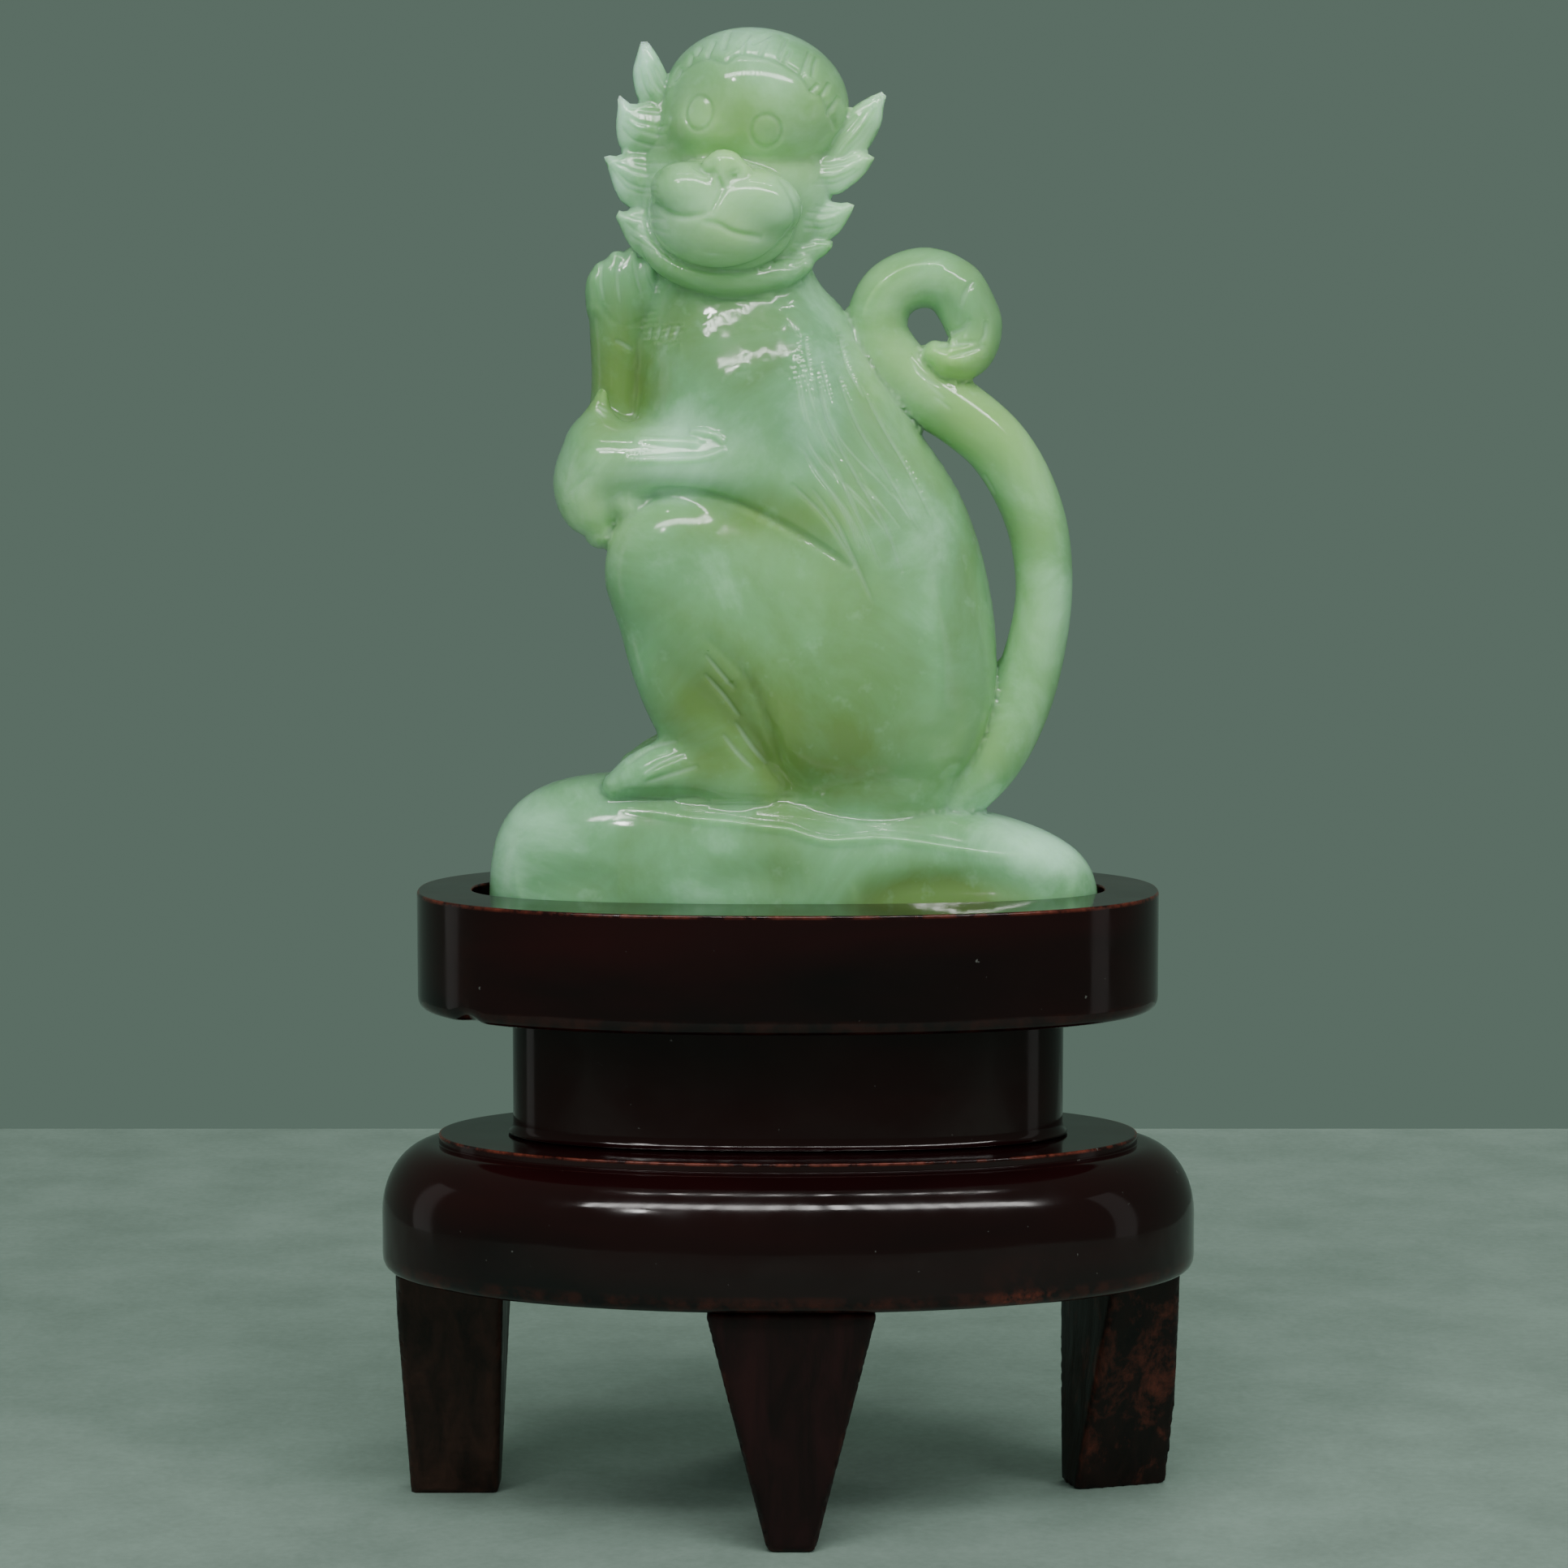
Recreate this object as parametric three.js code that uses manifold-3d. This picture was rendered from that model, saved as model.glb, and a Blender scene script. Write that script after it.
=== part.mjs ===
// A jade monkey on a carved rock, resting in the pocket of a lacquered wooden stand.
// Millimetres, +Z up. The monkey sits side on along X with its face turned to -Y,
// and the feet of the stand are on z = 0.

import * as THREE from 'three';
import { mergeVertices } from 'three/addons/utils/BufferGeometryUtils.js';
import Module from 'manifold-3d';

const wasm = await Module();
wasm.setup();

// Carving
const figureHeight = 105.5; // seat of the monkey to its crown
const rockLength = 84.2;
const rockDepth = 31.4;
const rockHeight = 19; // foot to top, at the middle of its length
const rockFall = 4.5; // drop of the top from the middle to the tail end
const rockShift = 0.8; // the rock lies this far to the tail's side of the pocket's middle

// Stand
const restGap = 0.3; // between pieces that rest on or are glued to each other
const pocketDepth = 5;
const pocketEndGap = 1.6;
const pocketSideGap = 0.8;
const seatEndRim = 7.5;
const seatSideRim = 12.3;
const seatHeight = 16.2;
const seatLowerEdge = 1.8;
const neckSetback = 13;
const neckHeight = 17.6;
const baseEndOverhang = 5.3;
const baseSideOverhang = 3.2;
const baseHeight = 19.2;
const baseShoulder = 7.4; // how far the rounded shoulder draws in
const baseShoulderDrop = 9.5;
const baseLowerEdge = 2.2;
const stepHeight = 1.3;
const legHeight = 33;
const legTopWidth = 23;
const legFootWidth = 6.5;
const legTopThickness = 13;
const legFootThickness = 12;
const leftLegTopThickness = 15.2;
const leftLegFootThickness = 12.4;
const rightLegTopThickness = 9.8;
const rightLegFootThickness = 15.2;
const legInset = 9; // outline of the base to the middle of the front and back feet
const sideLegInset = 9.6;
const frontLegShift = 0.4;
const leftLegShift = 4.4; // the side legs stand this far behind the middle
const rightLegShift = 8;
const legSetback = 1.6; // the legs are sawn off this far inside the outline of the base
const legEdge = 0.6;

// Levels and half sizes that follow from them
const baseBottom = legHeight;
const neckBottom = baseBottom + baseHeight;
const seatBottom = neckBottom + neckHeight;
const seatTop = seatBottom + seatHeight;
const pocketFloor = seatTop - pocketDepth;
const rockFoot = pocketFloor + restGap;
const pocketHalf = new THREE.Vector2(rockLength / 2 + pocketEndGap, rockDepth / 2 + pocketSideGap);
const seatHalf = new THREE.Vector2(pocketHalf.x + seatEndRim, pocketHalf.y + seatSideRim);
const neckHalf = new THREE.Vector2(seatHalf.x - neckSetback, seatHalf.y - neckSetback);
const baseHalf = new THREE.Vector2(seatHalf.x + baseEndOverhang, seatHalf.y + baseSideOverhang);

// Exponents of the rounded-oblong outlines: 2 is an ellipse, more is squarer
const seatRoundness = 2.35;
const baseRoundness = 2.1;
const rockPlanRoundness = 2.4;
const rockRiseRoundness = 3.6;

const seatSink = 2.3; // the figure is bedded this far into the top of the rock
const figureSeat = rockFoot + rockHeight - seatSink;

const jade = { color: 0xa9c795, roughness: 0.18, metalness: 0 };
const lacquer = { color: 0x2a0d0e, roughness: 0.16, metalness: 0 };
const legWood = { color: 0x321514, roughness: 0.55, metalness: 0 };

// The hand-sawn legs: middle of the foot, thickness at top and foot, and turn in degrees
const legRows = baseHalf.y - legInset;
const legColumns = baseHalf.x - sideLegInset;
const legs = [
  { name: 'leg_front', x: frontLegShift, y: -legRows, turn: 0, top: legTopThickness, foot: legFootThickness },
  { name: 'leg_back', x: 0, y: legRows, turn: 180, top: legTopThickness, foot: legFootThickness },
  {
    name: 'leg_left', x: -legColumns, y: leftLegShift, turn: -90,
    top: leftLegTopThickness, foot: leftLegFootThickness,
  },
  {
    name: 'leg_right', x: legColumns, y: rightLegShift, turn: 107,
    top: rightLegTopThickness, foot: rightLegFootThickness,
  },
];

function signedPower(value, exponent) {
  return Math.sign(value) * Math.abs(value) ** exponent;
}

// A closed skin through rings of equal count, each turning about the way they advance.
function loft(rings, startPole, endPole) {
  const count = rings[0].length;
  const points = [...rings.flat(), startPole, endPole];
  const startIndex = points.length - 2;
  const endIndex = points.length - 1;
  const lastRing = (rings.length - 1) * count;
  const index = [];
  for (let side = 0; side < count; side++) {
    const next = (side + 1) % count;
    for (let ring = 0; ring < rings.length - 1; ring++) {
      const low = ring * count;
      const high = low + count;
      index.push(low + side, low + next, high + next);
      index.push(low + side, high + next, high + side);
    }
    index.push(startIndex, next, side);
    index.push(endIndex, lastRing + side, lastRing + next);
  }
  const geometry = new THREE.BufferGeometry().setFromPoints(points);
  geometry.setIndex(index);
  return geometry;
}

function solid(geometry) {
  const bare = geometry.clone();
  bare.deleteAttribute('normal');
  bare.deleteAttribute('uv');
  const merged = mergeVertices(bare, 1e-4);
  const vertProperties = new Float32Array(merged.attributes.position.array);
  const triVerts = new Uint32Array(merged.index.array);
  return new wasm.Manifold(new wasm.Mesh({ numProp: 3, vertProperties, triVerts }));
}

function surface(manifold) {
  const mesh = manifold.getMesh();
  const geometry = new THREE.BufferGeometry();
  geometry.setAttribute('position', new THREE.BufferAttribute(mesh.vertProperties, 3));
  geometry.setIndex(new THREE.BufferAttribute(mesh.triVerts, 1));
  return geometry;
}

function mergeAll(solids) {
  return solids.reduce((whole, next) => whole.add(next));
}

function piece(name, manifold, finish) {
  const geometry = surface(manifold);
  geometry.computeVertexNormals();
  const mesh = new THREE.Mesh(geometry, new THREE.MeshStandardMaterial(finish));
  mesh.name = name;
  return mesh;
}

// Place in the figure's own drawing, measured from its seat.
function figurePoint(x, y, z) {
  return new THREE.Vector3(x * figureScale, y * figureScale, figureSeat + z * figureScale);
}

// An engraved stroke: points of [x, z] in the figure's drawing are laid on the carving from
// the side that faces the viewer (side -1) or away from them (side 1), and a V-shaped sliver
// that thins out at both ends is taken along them.
function engrave(carving, strokes, side = -1, halfWidth = 0.55, cut = 0.75) {
  const skin = new THREE.Mesh(surface(carving), new THREE.MeshBasicMaterial({ side: THREE.DoubleSide }));
  const ray = new THREE.Raycaster();
  const reach = 200;
  const inward = new THREE.Vector3(0, -side, 0);
  const slivers = strokes.map((points) => {
    const path = new THREE.CatmullRomCurve3(points.map(([x, z]) => new THREE.Vector3(x, 0, z)));
    const places = path.getPoints(points.length + 3).flatMap(({ x, z }) => {
      ray.set(figurePoint(x, 0, z).setY(side * reach), inward);
      const [hit] = ray.intersectObject(skin);
      return hit ? [{ point: hit.point, normal: hit.face.normal.clone() }] : [];
    });
    return sliver(places, halfWidth, cut);
  });
  return slivers.reduce((whole, next) => whole.subtract(next), carving);
}

// A V-shaped sliver along places of { point, normal }, pointed at both ends.
function sliver(places, halfWidth, cut) {
  const last = places.length - 1;
  const rings = places.slice(1, last).map(({ point, normal }, k) => {
    const along = places[k + 2].point.clone().sub(places[k].point).normalize();
    const across = new THREE.Vector3().crossVectors(along, normal).normalize();
    const swell = Math.sin((Math.PI * (k + 1)) / last) ** 0.5;
    const lip = point.clone().addScaledVector(normal, cut);
    return [
      lip.clone().addScaledVector(across, 2 * halfWidth * swell),
      point.clone().addScaledVector(normal, -cut * swell),
      lip.clone().addScaledVector(across, -2 * halfWidth * swell),
    ];
  });
  return solid(loft(rings, places[0].point, places[last].point));
}

// A limb of elliptical sections along a smooth path through stations of
// [x, z, half width in the picture's plane, half depth, y]. Its ends are domed.
function limb(stations, sides = 16, stepsPerSpan = 2, capRings = 3) {
  const centre = new THREE.CatmullRomCurve3(
    stations.map(([x, z, , , y = 0]) => new THREE.Vector3(x, y, z)), false, 'catmullrom');
  const halves = new THREE.CatmullRomCurve3(
    stations.map(([, , width, depth]) => new THREE.Vector3(width, depth, 0)), false, 'catmullrom');
  const steps = (stations.length - 1) * stepsPerSpan;
  const tangentAt = (t) => centre.getTangent(t).setY(0).normalize();

  function ring(middle, tangent, width, depth) {
    const points = [];
    for (let side = 0; side < sides; side++) {
      const angle = (2 * Math.PI * side) / sides;
      const across = width * Math.cos(angle);
      points.push(figurePoint(
        middle.x - tangent.z * across,
        middle.y - depth * Math.sin(angle),
        middle.z + tangent.x * across));
    }
    return points;
  }

  function dome(t, direction) {
    const middle = centre.getPoint(t);
    const tangent = tangentAt(t);
    const half = halves.getPoint(t);
    const rings = [];
    for (let k = 1; k < capRings; k++) {
      const angle = (k / capRings) * (Math.PI / 2);
      const out = middle.clone().addScaledVector(tangent, direction * half.x * Math.sin(angle));
      rings.push(ring(out, tangent, half.x * Math.cos(angle), half.y * Math.cos(angle)));
    }
    const pole = middle.addScaledVector(tangent, direction * half.x);
    return { rings, pole: figurePoint(pole.x, pole.y, pole.z) };
  }

  const rings = [];
  for (let step = 0; step <= steps; step++) {
    const t = step / steps;
    const half = halves.getPoint(t);
    rings.push(ring(centre.getPoint(t), tangentAt(t), half.x, half.y));
  }
  const start = dome(0, -1);
  const end = dome(1, 1);
  return solid(loft([...start.rings.reverse(), ...rings, ...end.rings], start.pole, end.pole));
}

// An ellipsoid at [x, y, z] with half sizes [x, y, z], rolled in the picture's plane.
function ball(middle, halves, rollDegrees = 0, sides = 18) {
  const geometry = new THREE.SphereGeometry(1, sides, Math.round(sides * 0.6));
  geometry.scale(...halves.map((half) => half * figureScale));
  geometry.rotateY(THREE.MathUtils.degToRad(rollDegrees));
  const place = figurePoint(...middle);
  geometry.translate(place.x, place.y, place.z);
  return solid(geometry);
}

function mirrored(stations) {
  return stations.map(([x, z, width, depth, y]) => [x, z, width, depth, -y]);
}

// Body, from the neck down to the seat
const torso = [
  [-7.6, 74, 9.5, 8.5],
  [-7.2, 68, 12.4, 10],
  [-5.2, 60.5, 15.2, 11.4],
  [-3.4, 52, 17.7, 12.4],
  [0.4, 43, 19.4, 13],
  [4.2, 33, 21.3, 14],
  [7.8, 22, 20.6, 14.4],
  [9.3, 11, 18, 13.8],
  [9.5, 4, 14.5, 12],
];
const haunch = { middle: [8.6, -4.4, 17.5], halves: [19.2, 10.3, 20] };
const thigh = [
  [7, 19.5, 15.5, 9.6, -5.1],
  [-1, 24, 13.6, 9.4, -5.4],
  [-8, 28.4, 11.8, 8.8, -5.8],
  [-14.2, 32.2, 10.3, 7.9, -6.2],
];
const shin = [
  [-14.6, 31, 9.6, 6.6, -7],
  [-13.6, 22, 8.4, 6.4, -7.2],
  [-11.5, 15, 7.8, 6.2, -7.4],
  [-8.8, 9, 6.8, 5.6, -7.6],
  [-7.4, 4.5, 5.8, 5.2, -7.8],
];
const foot = [
  [-2, 4, 3.6, 5, -8],
  [-11, 5, 3.8, 5, -8.2],
  [-18, 4.4, 3.1, 4.7, -8.4],
  [-23.2, 3.4, 1.8, 4, -8.4],
];

// Near arm, laid along the thigh, its hand closed round the far elbow
const forearm = [
  [-24.5, 47, 5.6, 7.5, -5.5],
  [-17, 47.2, 4.9, 6.8, -7.6],
  [-9, 46.6, 4.8, 6.6, -8.4],
  [-1, 44.2, 5.4, 6.4, -8.8],
  [6, 40, 5.6, 6, -9],
  [10.5, 34.5, 3.6, 5, -9.6],
  [12.2, 29.5, 1.3, 3, -11.4],
];
const hand = [
  [-26, 49, 4.4, 6.5, -4],
  [-26.7, 44.5, 5.3, 8, -3.4],
  [-26.3, 40.5, 4.7, 7.6, -2.6],
  [-25.4, 37.6, 2.6, 6, -2],
];
const thumb = [
  [-26, 49, 3.6, 3.6, -5],
  [-25.7, 53, 2.1, 2.4, -5],
  [-25.2, 56.2, 0.7, 1, -4.8],
];

// Far arm, raised so that its hand props the cheek
const raisedArm = [
  [-25, 43, 5, 6, 4],
  [-24, 50, 3.9, 5, 3],
  [-23.4, 57, 3.6, 4.4, 2],
  [-23.4, 64, 3.5, 4.2, 1.2],
  [-22.8, 69.5, 4.2, 3.8, 0.6],
];
const raisedFingers = [
  [-25.6, 68, 73.2, 1.3],
  [-23.8, 69, 74.8, 1.3],
  [-21.7, 69, 75.6, 1.3],
  [-19.6, 69, 75, 1.2],
].map(([x, root, tip, half]) => [
  [x, root, half, 2.4, 0.2],
  [x, (root + tip) / 2, half, 2.2, -0.4],
  [x + 0.5, tip - half, half * 0.7, 1.5, -0.6],
]);

// Tail, up the back and rolled into a curl
const tail = [
  [22, 1.5, 5.4, 6.5, 0],
  [27.2, 6.5, 5.2, 6, 0],
  [31, 12.5, 4.7, 5.5, 0],
  [33.6, 19.5, 4.2, 5, 0],
  [35.1, 28.2, 3.9, 4.8, 0],
  [34.5, 36.5, 4.1, 4.8, 0],
  [32.2, 43.3, 4.3, 4.8, 0],
  [28.6, 49, 4.4, 4.8, 0],
  [23.8, 53.2, 4.5, 4.9, 0],
  [18.6, 56.6, 4.6, 5, 0],
  [14.2, 60.4, 4.5, 5.2, 0],
  [12.1, 65.2, 4.2, 5.2, 0],
  [13.8, 69.9, 4.1, 5.2, 0],
  [18.4, 71.9, 4.1, 5.1, 0],
  [22.9, 70.2, 4, 5, 0],
  [25.3, 65.6, 3.9, 4.8, 0],
  [24.3, 61.6, 3.3, 4.4, 0],
  [21.8, 60.7, 2.6, 4, 0],
  [19.8, 61.2, 1.5, 3.2, 0],
];

// The rim of beard under the chin
const beard = [
  [-19.6, 77.4, 1.6, 2.4, -4.5],
  [-15.6, 73.2, 2.4, 3.6, -6.4],
  [-8.4, 71.2, 2.7, 4, -7.8],
  [-1, 72, 2.6, 3.8, -6.8],
  [3.6, 75.4, 1.6, 2.4, -4.5],
];

// Pointed ears and the leaf-shaped tufts of the ruff: root, middle and tip
const leaves = [
  [[-16.8, 91, 3.4, 3], [-19.2, 97.5, 2.5, 1.9], [-19.8, 103.8, 0.3, 0.5]],
  [[-14, 87.5, 5, 3.6], [-20.2, 91.2, 3.4, 2.2], [-23, 96, 0.35, 0.5]],
  [[-14, 82.2, 5.4, 3.8], [-21.2, 84.3, 3.6, 2.2], [-25.2, 88.6, 0.35, 0.5]],
  [[-14, 77, 5, 3.8], [-20.6, 77.6, 3, 2.2], [-23.7, 80.6, 0.35, 0.5]],
  [[4, 88.5, 5.4, 3.4], [9.8, 92, 3.5, 2], [13.2, 96.9, 0.35, 0.5]],
  [[0, 83.5, 5.6, 3.8], [7.6, 85.2, 3.3, 2], [11.6, 88.3, 0.35, 0.5]],
  [[-1, 78.8, 5, 3.8], [5.9, 79.6, 2.9, 2], [9.2, 82, 0.35, 0.5]],
  [[-3, 74.6, 4.4, 3.8], [2.9, 74.9, 2.7, 2], [6, 76.8, 0.35, 0.5]],
].map((stations) => stations.map((station) => [...station, -3.2]));

const brow = { middle: [-4.3, -0.5, 95.4], halves: [12.6, 12.4, 10.1], roll: 8 };
const skull = { middle: [-5, 3.4, 87.5], halves: [11.6, 8.6, 13], roll: 12 };
const ruff = { middle: [-7.5, -2.2, 83], halves: [13.6, 7.4, 12.2], roll: 12 };
const muzzle = { middle: [-8.9, -8, 80.3], halves: [9.8, 8, 7.6], roll: 8 };
const lips = [
  { middle: [-13.3, -11, 83.6], halves: [5.2, 5.6, 4.1], roll: 10 },
  { middle: [-4.1, -11, 81.6], halves: [5.6, 5.8, 4.7], roll: 10 },
];
const nose = { middle: [-8.1, -13, 87], halves: [3, 2.4, 1.9], roll: 10 };

// Eyes: x, z, half width, half height
const eyes = [
  [-11.9, 93.6, 1.8, 2.3],
  [-2.9, 91.2, 2, 2.1],
];

// The crown of the drawing is the top of the brow, which comes to figureHeight
const drawnHeight = brow.middle[2] + brow.halves[2];
const figureScale = figureHeight / drawnHeight;

// Engraved strokes, each a run of [x, z]
const backLocks = [
  [[3.7, 59.6], [5.3, 52.6], [9.1, 45], [13, 38.4], [15.4, 32.4]],
  [[6.6, 59], [9.4, 52], [13.8, 45], [17.6, 38]],
  [[3.1, 53.1], [6.2, 46.6], [9.4, 40.1], [12.6, 33]],
];
const elbowLocks = [
  [[3.1, 43.9], [6.4, 39.4], [9.1, 33.6], [11.3, 28.7]],
  [[0.4, 44.5], [4.8, 40.1], [8, 35.2]],
];
const shinStrokes = [[[-11.2, 21.6], [-9.4, 19.4], [-7.2, 16.7]]];
const toeStrokes = [
  [[-13.8, 7.9], [-17.1, 6.8], [-20.2, 4.6]],
  [[-12.1, 6.1], [-16.5, 4.7], [-20.2, 3.2]],
];
const mouthLine = [[-17.6, 81.6], [-15.6, 80.3], [-12.6, 79.8], [-9.3, 78.8], [-7.1, 77.7], [-3.4, 77]];
const lipParting = [[-9, 84.6], [-8.8, 83.2], [-9.6, 81.6], [-10.4, 80]];

function ballOf({ middle, halves, roll = 0 }, sides) {
  return ball(middle, halves, roll, sides);
}

function acrossMiddle({ middle: [x, y, z], ...rest }) {
  return { middle: [x, -y, z], ...rest };
}

// A ring to be cut into the brow for each eye, facing straight forward.
function eyeRing([x, z, halfWidth, halfHeight]) {
  const rise = 1 - ((x - brow.middle[0]) / brow.halves[0]) ** 2 - ((z - brow.middle[2]) / brow.halves[2]) ** 2;
  const y = brow.middle[1] - brow.halves[1] * Math.sqrt(Math.max(rise, 0));
  const line = 0.4;
  const reach = 2.4; // the ring is drawn out along its axis, so that it meets the slope of the brow
  const geometry = new THREE.TorusGeometry(1, line / halfWidth, 4, 14);
  geometry.rotateX(Math.PI / 2);
  geometry.scale(halfWidth * figureScale, reach * halfWidth * figureScale, halfHeight * figureScale);
  const place = figurePoint(x, y, z);
  geometry.translate(place.x, place.y, place.z);
  return solid(geometry);
}

function monkeySolid() {
  const pairs = [thigh, shin, foot].flatMap((form) => [limb(form, 12), limb(mirrored(form), 12)]);
  const forms = [
    limb(torso, 18, 2, 3),
    ballOf(haunch, 18),
    ballOf(acrossMiddle(haunch), 18),
    ...pairs,
    limb(forearm, 12),
    limb(hand, 10),
    limb(thumb, 8, 2, 2),
    limb(raisedArm, 10, 1),
    ...raisedFingers.map((finger) => limb(finger, 6, 1, 2)),
    limb(tail, 10, 2, 2),
    limb(beard, 8, 2, 2),
    ...leaves.map((leaf) => limb(leaf, 6, 2, 1)),
    ballOf(brow, 20),
    ballOf(skull, 16),
    ballOf(ruff, 16),
    ballOf(muzzle, 16),
    ...lips.map((lip) => ballOf(lip, 12)),
    ballOf(nose, 10),
  ];
  const carving = eyes.reduce((whole, eye) => whole.subtract(eyeRing(eye)), mergeAll(forms));
  const nearStrokes = [...backLocks, ...elbowLocks, ...shinStrokes, ...toeStrokes, mouthLine, lipParting];
  return engrave(engrave(carving, nearStrokes), backLocks, 1);
}

// The rock: a rounded oblong in plan, with a squarer rise to a top that falls to the right.
function rockSolid() {
  const around = 28;
  const rises = [0, 0.08, 0.2, 0.38, 0.6, 0.82];
  const height = (share) => rockHeight - rockFall * share;
  const rings = rises.map((rise) => {
    const angle = (rise * Math.PI) / 2;
    const reach = Math.cos(angle) ** (2 / rockRiseRoundness);
    const lift = Math.sin(angle) ** (2 / rockRiseRoundness);
    return Array.from({ length: around }, (_, side) => {
      const turn = (2 * Math.PI * side) / around;
      const along = reach * signedPower(Math.cos(turn), 2 / rockPlanRoundness);
      const across = reach * signedPower(Math.sin(turn), 2 / rockPlanRoundness);
      return new THREE.Vector3(
        rockShift + (along * rockLength) / 2,
        (across * rockDepth) / 2,
        rockFoot + lift * height(along));
    });
  });
  const foot = new THREE.Vector3(rockShift, 0, rockFoot);
  const crown = new THREE.Vector3(rockShift, 0, rockFoot + rockHeight);
  return solid(loft(rings, foot, crown));
}

// A rounded-oblong slab whose outline draws in by profile[i][0] at height profile[i][1].
function slab(half, roundness, profile, around = 48) {
  const rings = profile.map(([inset, z]) =>
    Array.from({ length: around }, (_, side) => {
      const turn = (2 * Math.PI * side) / around;
      return new THREE.Vector3(
        (half.x - inset) * signedPower(Math.cos(turn), 2 / roundness),
        (half.y - inset) * signedPower(Math.sin(turn), 2 / roundness),
        z);
    }));
  const [, low] = profile[0];
  const [, high] = profile[profile.length - 1];
  return solid(loft(rings, new THREE.Vector3(0, 0, low), new THREE.Vector3(0, 0, high)));
}

// Points of a quarter round from [0, from] drawn in to [inset, to].
function quarterRound(inset, from, to, count) {
  return Array.from({ length: count + 1 }, (_, k) => {
    const angle = ((k / count) * Math.PI) / 2;
    return [inset * (1 - Math.cos(angle)), from + (to - from) * Math.sin(angle)];
  });
}

function seatSolid() {
  const blank = slab(seatHalf, seatRoundness, [
    ...quarterRound(seatLowerEdge, seatBottom + seatLowerEdge, seatBottom, 2).reverse(),
    [0, seatTop],
  ]);
  const pocket = slab(pocketHalf, seatRoundness, [[0, pocketFloor], [0, seatTop + pocketDepth]]);
  return blank.subtract(pocket);
}

function neckSolid() {
  return slab(neckHalf, seatRoundness, [[0, neckBottom], [0, seatBottom - restGap]]);
}

function baseSolid() {
  const top = neckBottom - restGap;
  const shoulderTop = top - stepHeight;
  const quirk = 0.5;
  return slab(baseHalf, baseRoundness, [
    ...quarterRound(baseLowerEdge, baseBottom + baseLowerEdge, baseBottom, 2).reverse(),
    ...quarterRound(baseShoulder, shoulderTop - baseShoulderDrop, shoulderTop, 4),
    [baseShoulder + quirk, top],
  ]);
}

// A sawn board, wide at the top and narrow at the foot, cut off to the outline of the base.
function leg({ name, x, y, top, foot, turn }) {
  const outline = (width, thickness, z) => {
    const [w, t] = [width / 2, thickness / 2];
    const corners = [
      [-w + legEdge, -t], [w - legEdge, -t], [w, -t + legEdge], [w, t - legEdge],
      [w - legEdge, t], [-w + legEdge, t], [-w, t - legEdge], [-w, -t + legEdge],
    ];
    return corners.map(([across, deep]) => new THREE.Vector3(across, deep, z));
  };
  const high = legHeight - restGap;
  const rings = [outline(legFootWidth, foot, 0), outline(legTopWidth, top, high)];
  const board = loft(rings, new THREE.Vector3(0, 0, 0), new THREE.Vector3(0, 0, high));
  board.rotateZ(THREE.MathUtils.degToRad(turn));
  board.translate(x, y, 0);
  const within = new THREE.Vector2(baseHalf.x - legSetback, baseHalf.y - legSetback);
  const trim = slab(within, baseRoundness, [[0, -restGap], [0, legHeight]]);
  return piece(name, solid(board).intersect(trim), legWood);
}

const monkey = monkeySolid().add(rockSolid());

const group = new THREE.Group();
group.add(
  piece('jade_monkey', monkey, jade),
  piece('seat_board', seatSolid(), lacquer),
  piece('neck_block', neckSolid(), lacquer),
  piece('base_block', baseSolid(), lacquer),
  ...legs.map(leg),
);

export default group;
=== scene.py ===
import math

import bmesh
import bpy
import numpy as np
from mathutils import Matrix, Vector, noise as bpyNoise


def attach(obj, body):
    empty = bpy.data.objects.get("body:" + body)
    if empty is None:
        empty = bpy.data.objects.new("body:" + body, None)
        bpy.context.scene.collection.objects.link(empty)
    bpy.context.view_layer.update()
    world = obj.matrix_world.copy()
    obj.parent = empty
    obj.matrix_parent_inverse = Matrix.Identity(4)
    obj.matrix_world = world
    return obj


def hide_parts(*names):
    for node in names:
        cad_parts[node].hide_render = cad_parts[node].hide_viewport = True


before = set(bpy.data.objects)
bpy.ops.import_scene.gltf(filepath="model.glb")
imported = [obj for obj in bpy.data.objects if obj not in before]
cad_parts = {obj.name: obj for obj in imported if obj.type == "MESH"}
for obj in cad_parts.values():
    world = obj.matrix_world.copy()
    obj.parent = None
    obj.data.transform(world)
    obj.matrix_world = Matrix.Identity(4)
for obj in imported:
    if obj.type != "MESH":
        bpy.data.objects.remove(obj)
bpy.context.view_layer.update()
mm = 0.001  # sizes below are in millimetres
print("frame loaded")


# camera, floor and lamps

shot = {"place": (-0.56, -596.7, 163.2), "pitch": 84.0, "lens": 99.82, "sensor": 36.0}
ground = {"reach": 281.0, "light": (0.198, 0.268, 0.232), "dark": (0.147, 0.202, 0.172), "cloud": 45.0,
          "speck": 700.0, "roughness": 0.85, "wall": (0.107, 0.16, 0.13), "wallPower": 1.0}
# place, aim, width, depth, watts, colour
softLamps = [
    ("overheadLamp", (60, -420, 720), (0, 0, 110), 620, 520, 1.75, (0.96, 1.0, 0.97)),
    ("frontFillLamp", (-260, -760, 260), (0, 0, 110), 460, 460, 1.7, (0.93, 1.0, 0.95)),
    ("rightFillLamp", (560, -380, 330), (0, 0, 110), 360, 360, 0.9, (0.95, 1.0, 0.97)),
    ("floorBounceLamp", (-40, -640, 40), (0, 0, 170), 500, 200, 0.9, (0.93, 1.0, 0.94)),
    ("backGlowLamp", (180, 420, 420), (0, 0, 130), 300, 300, 0.9, (0.97, 1.0, 0.95)),
]
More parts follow.
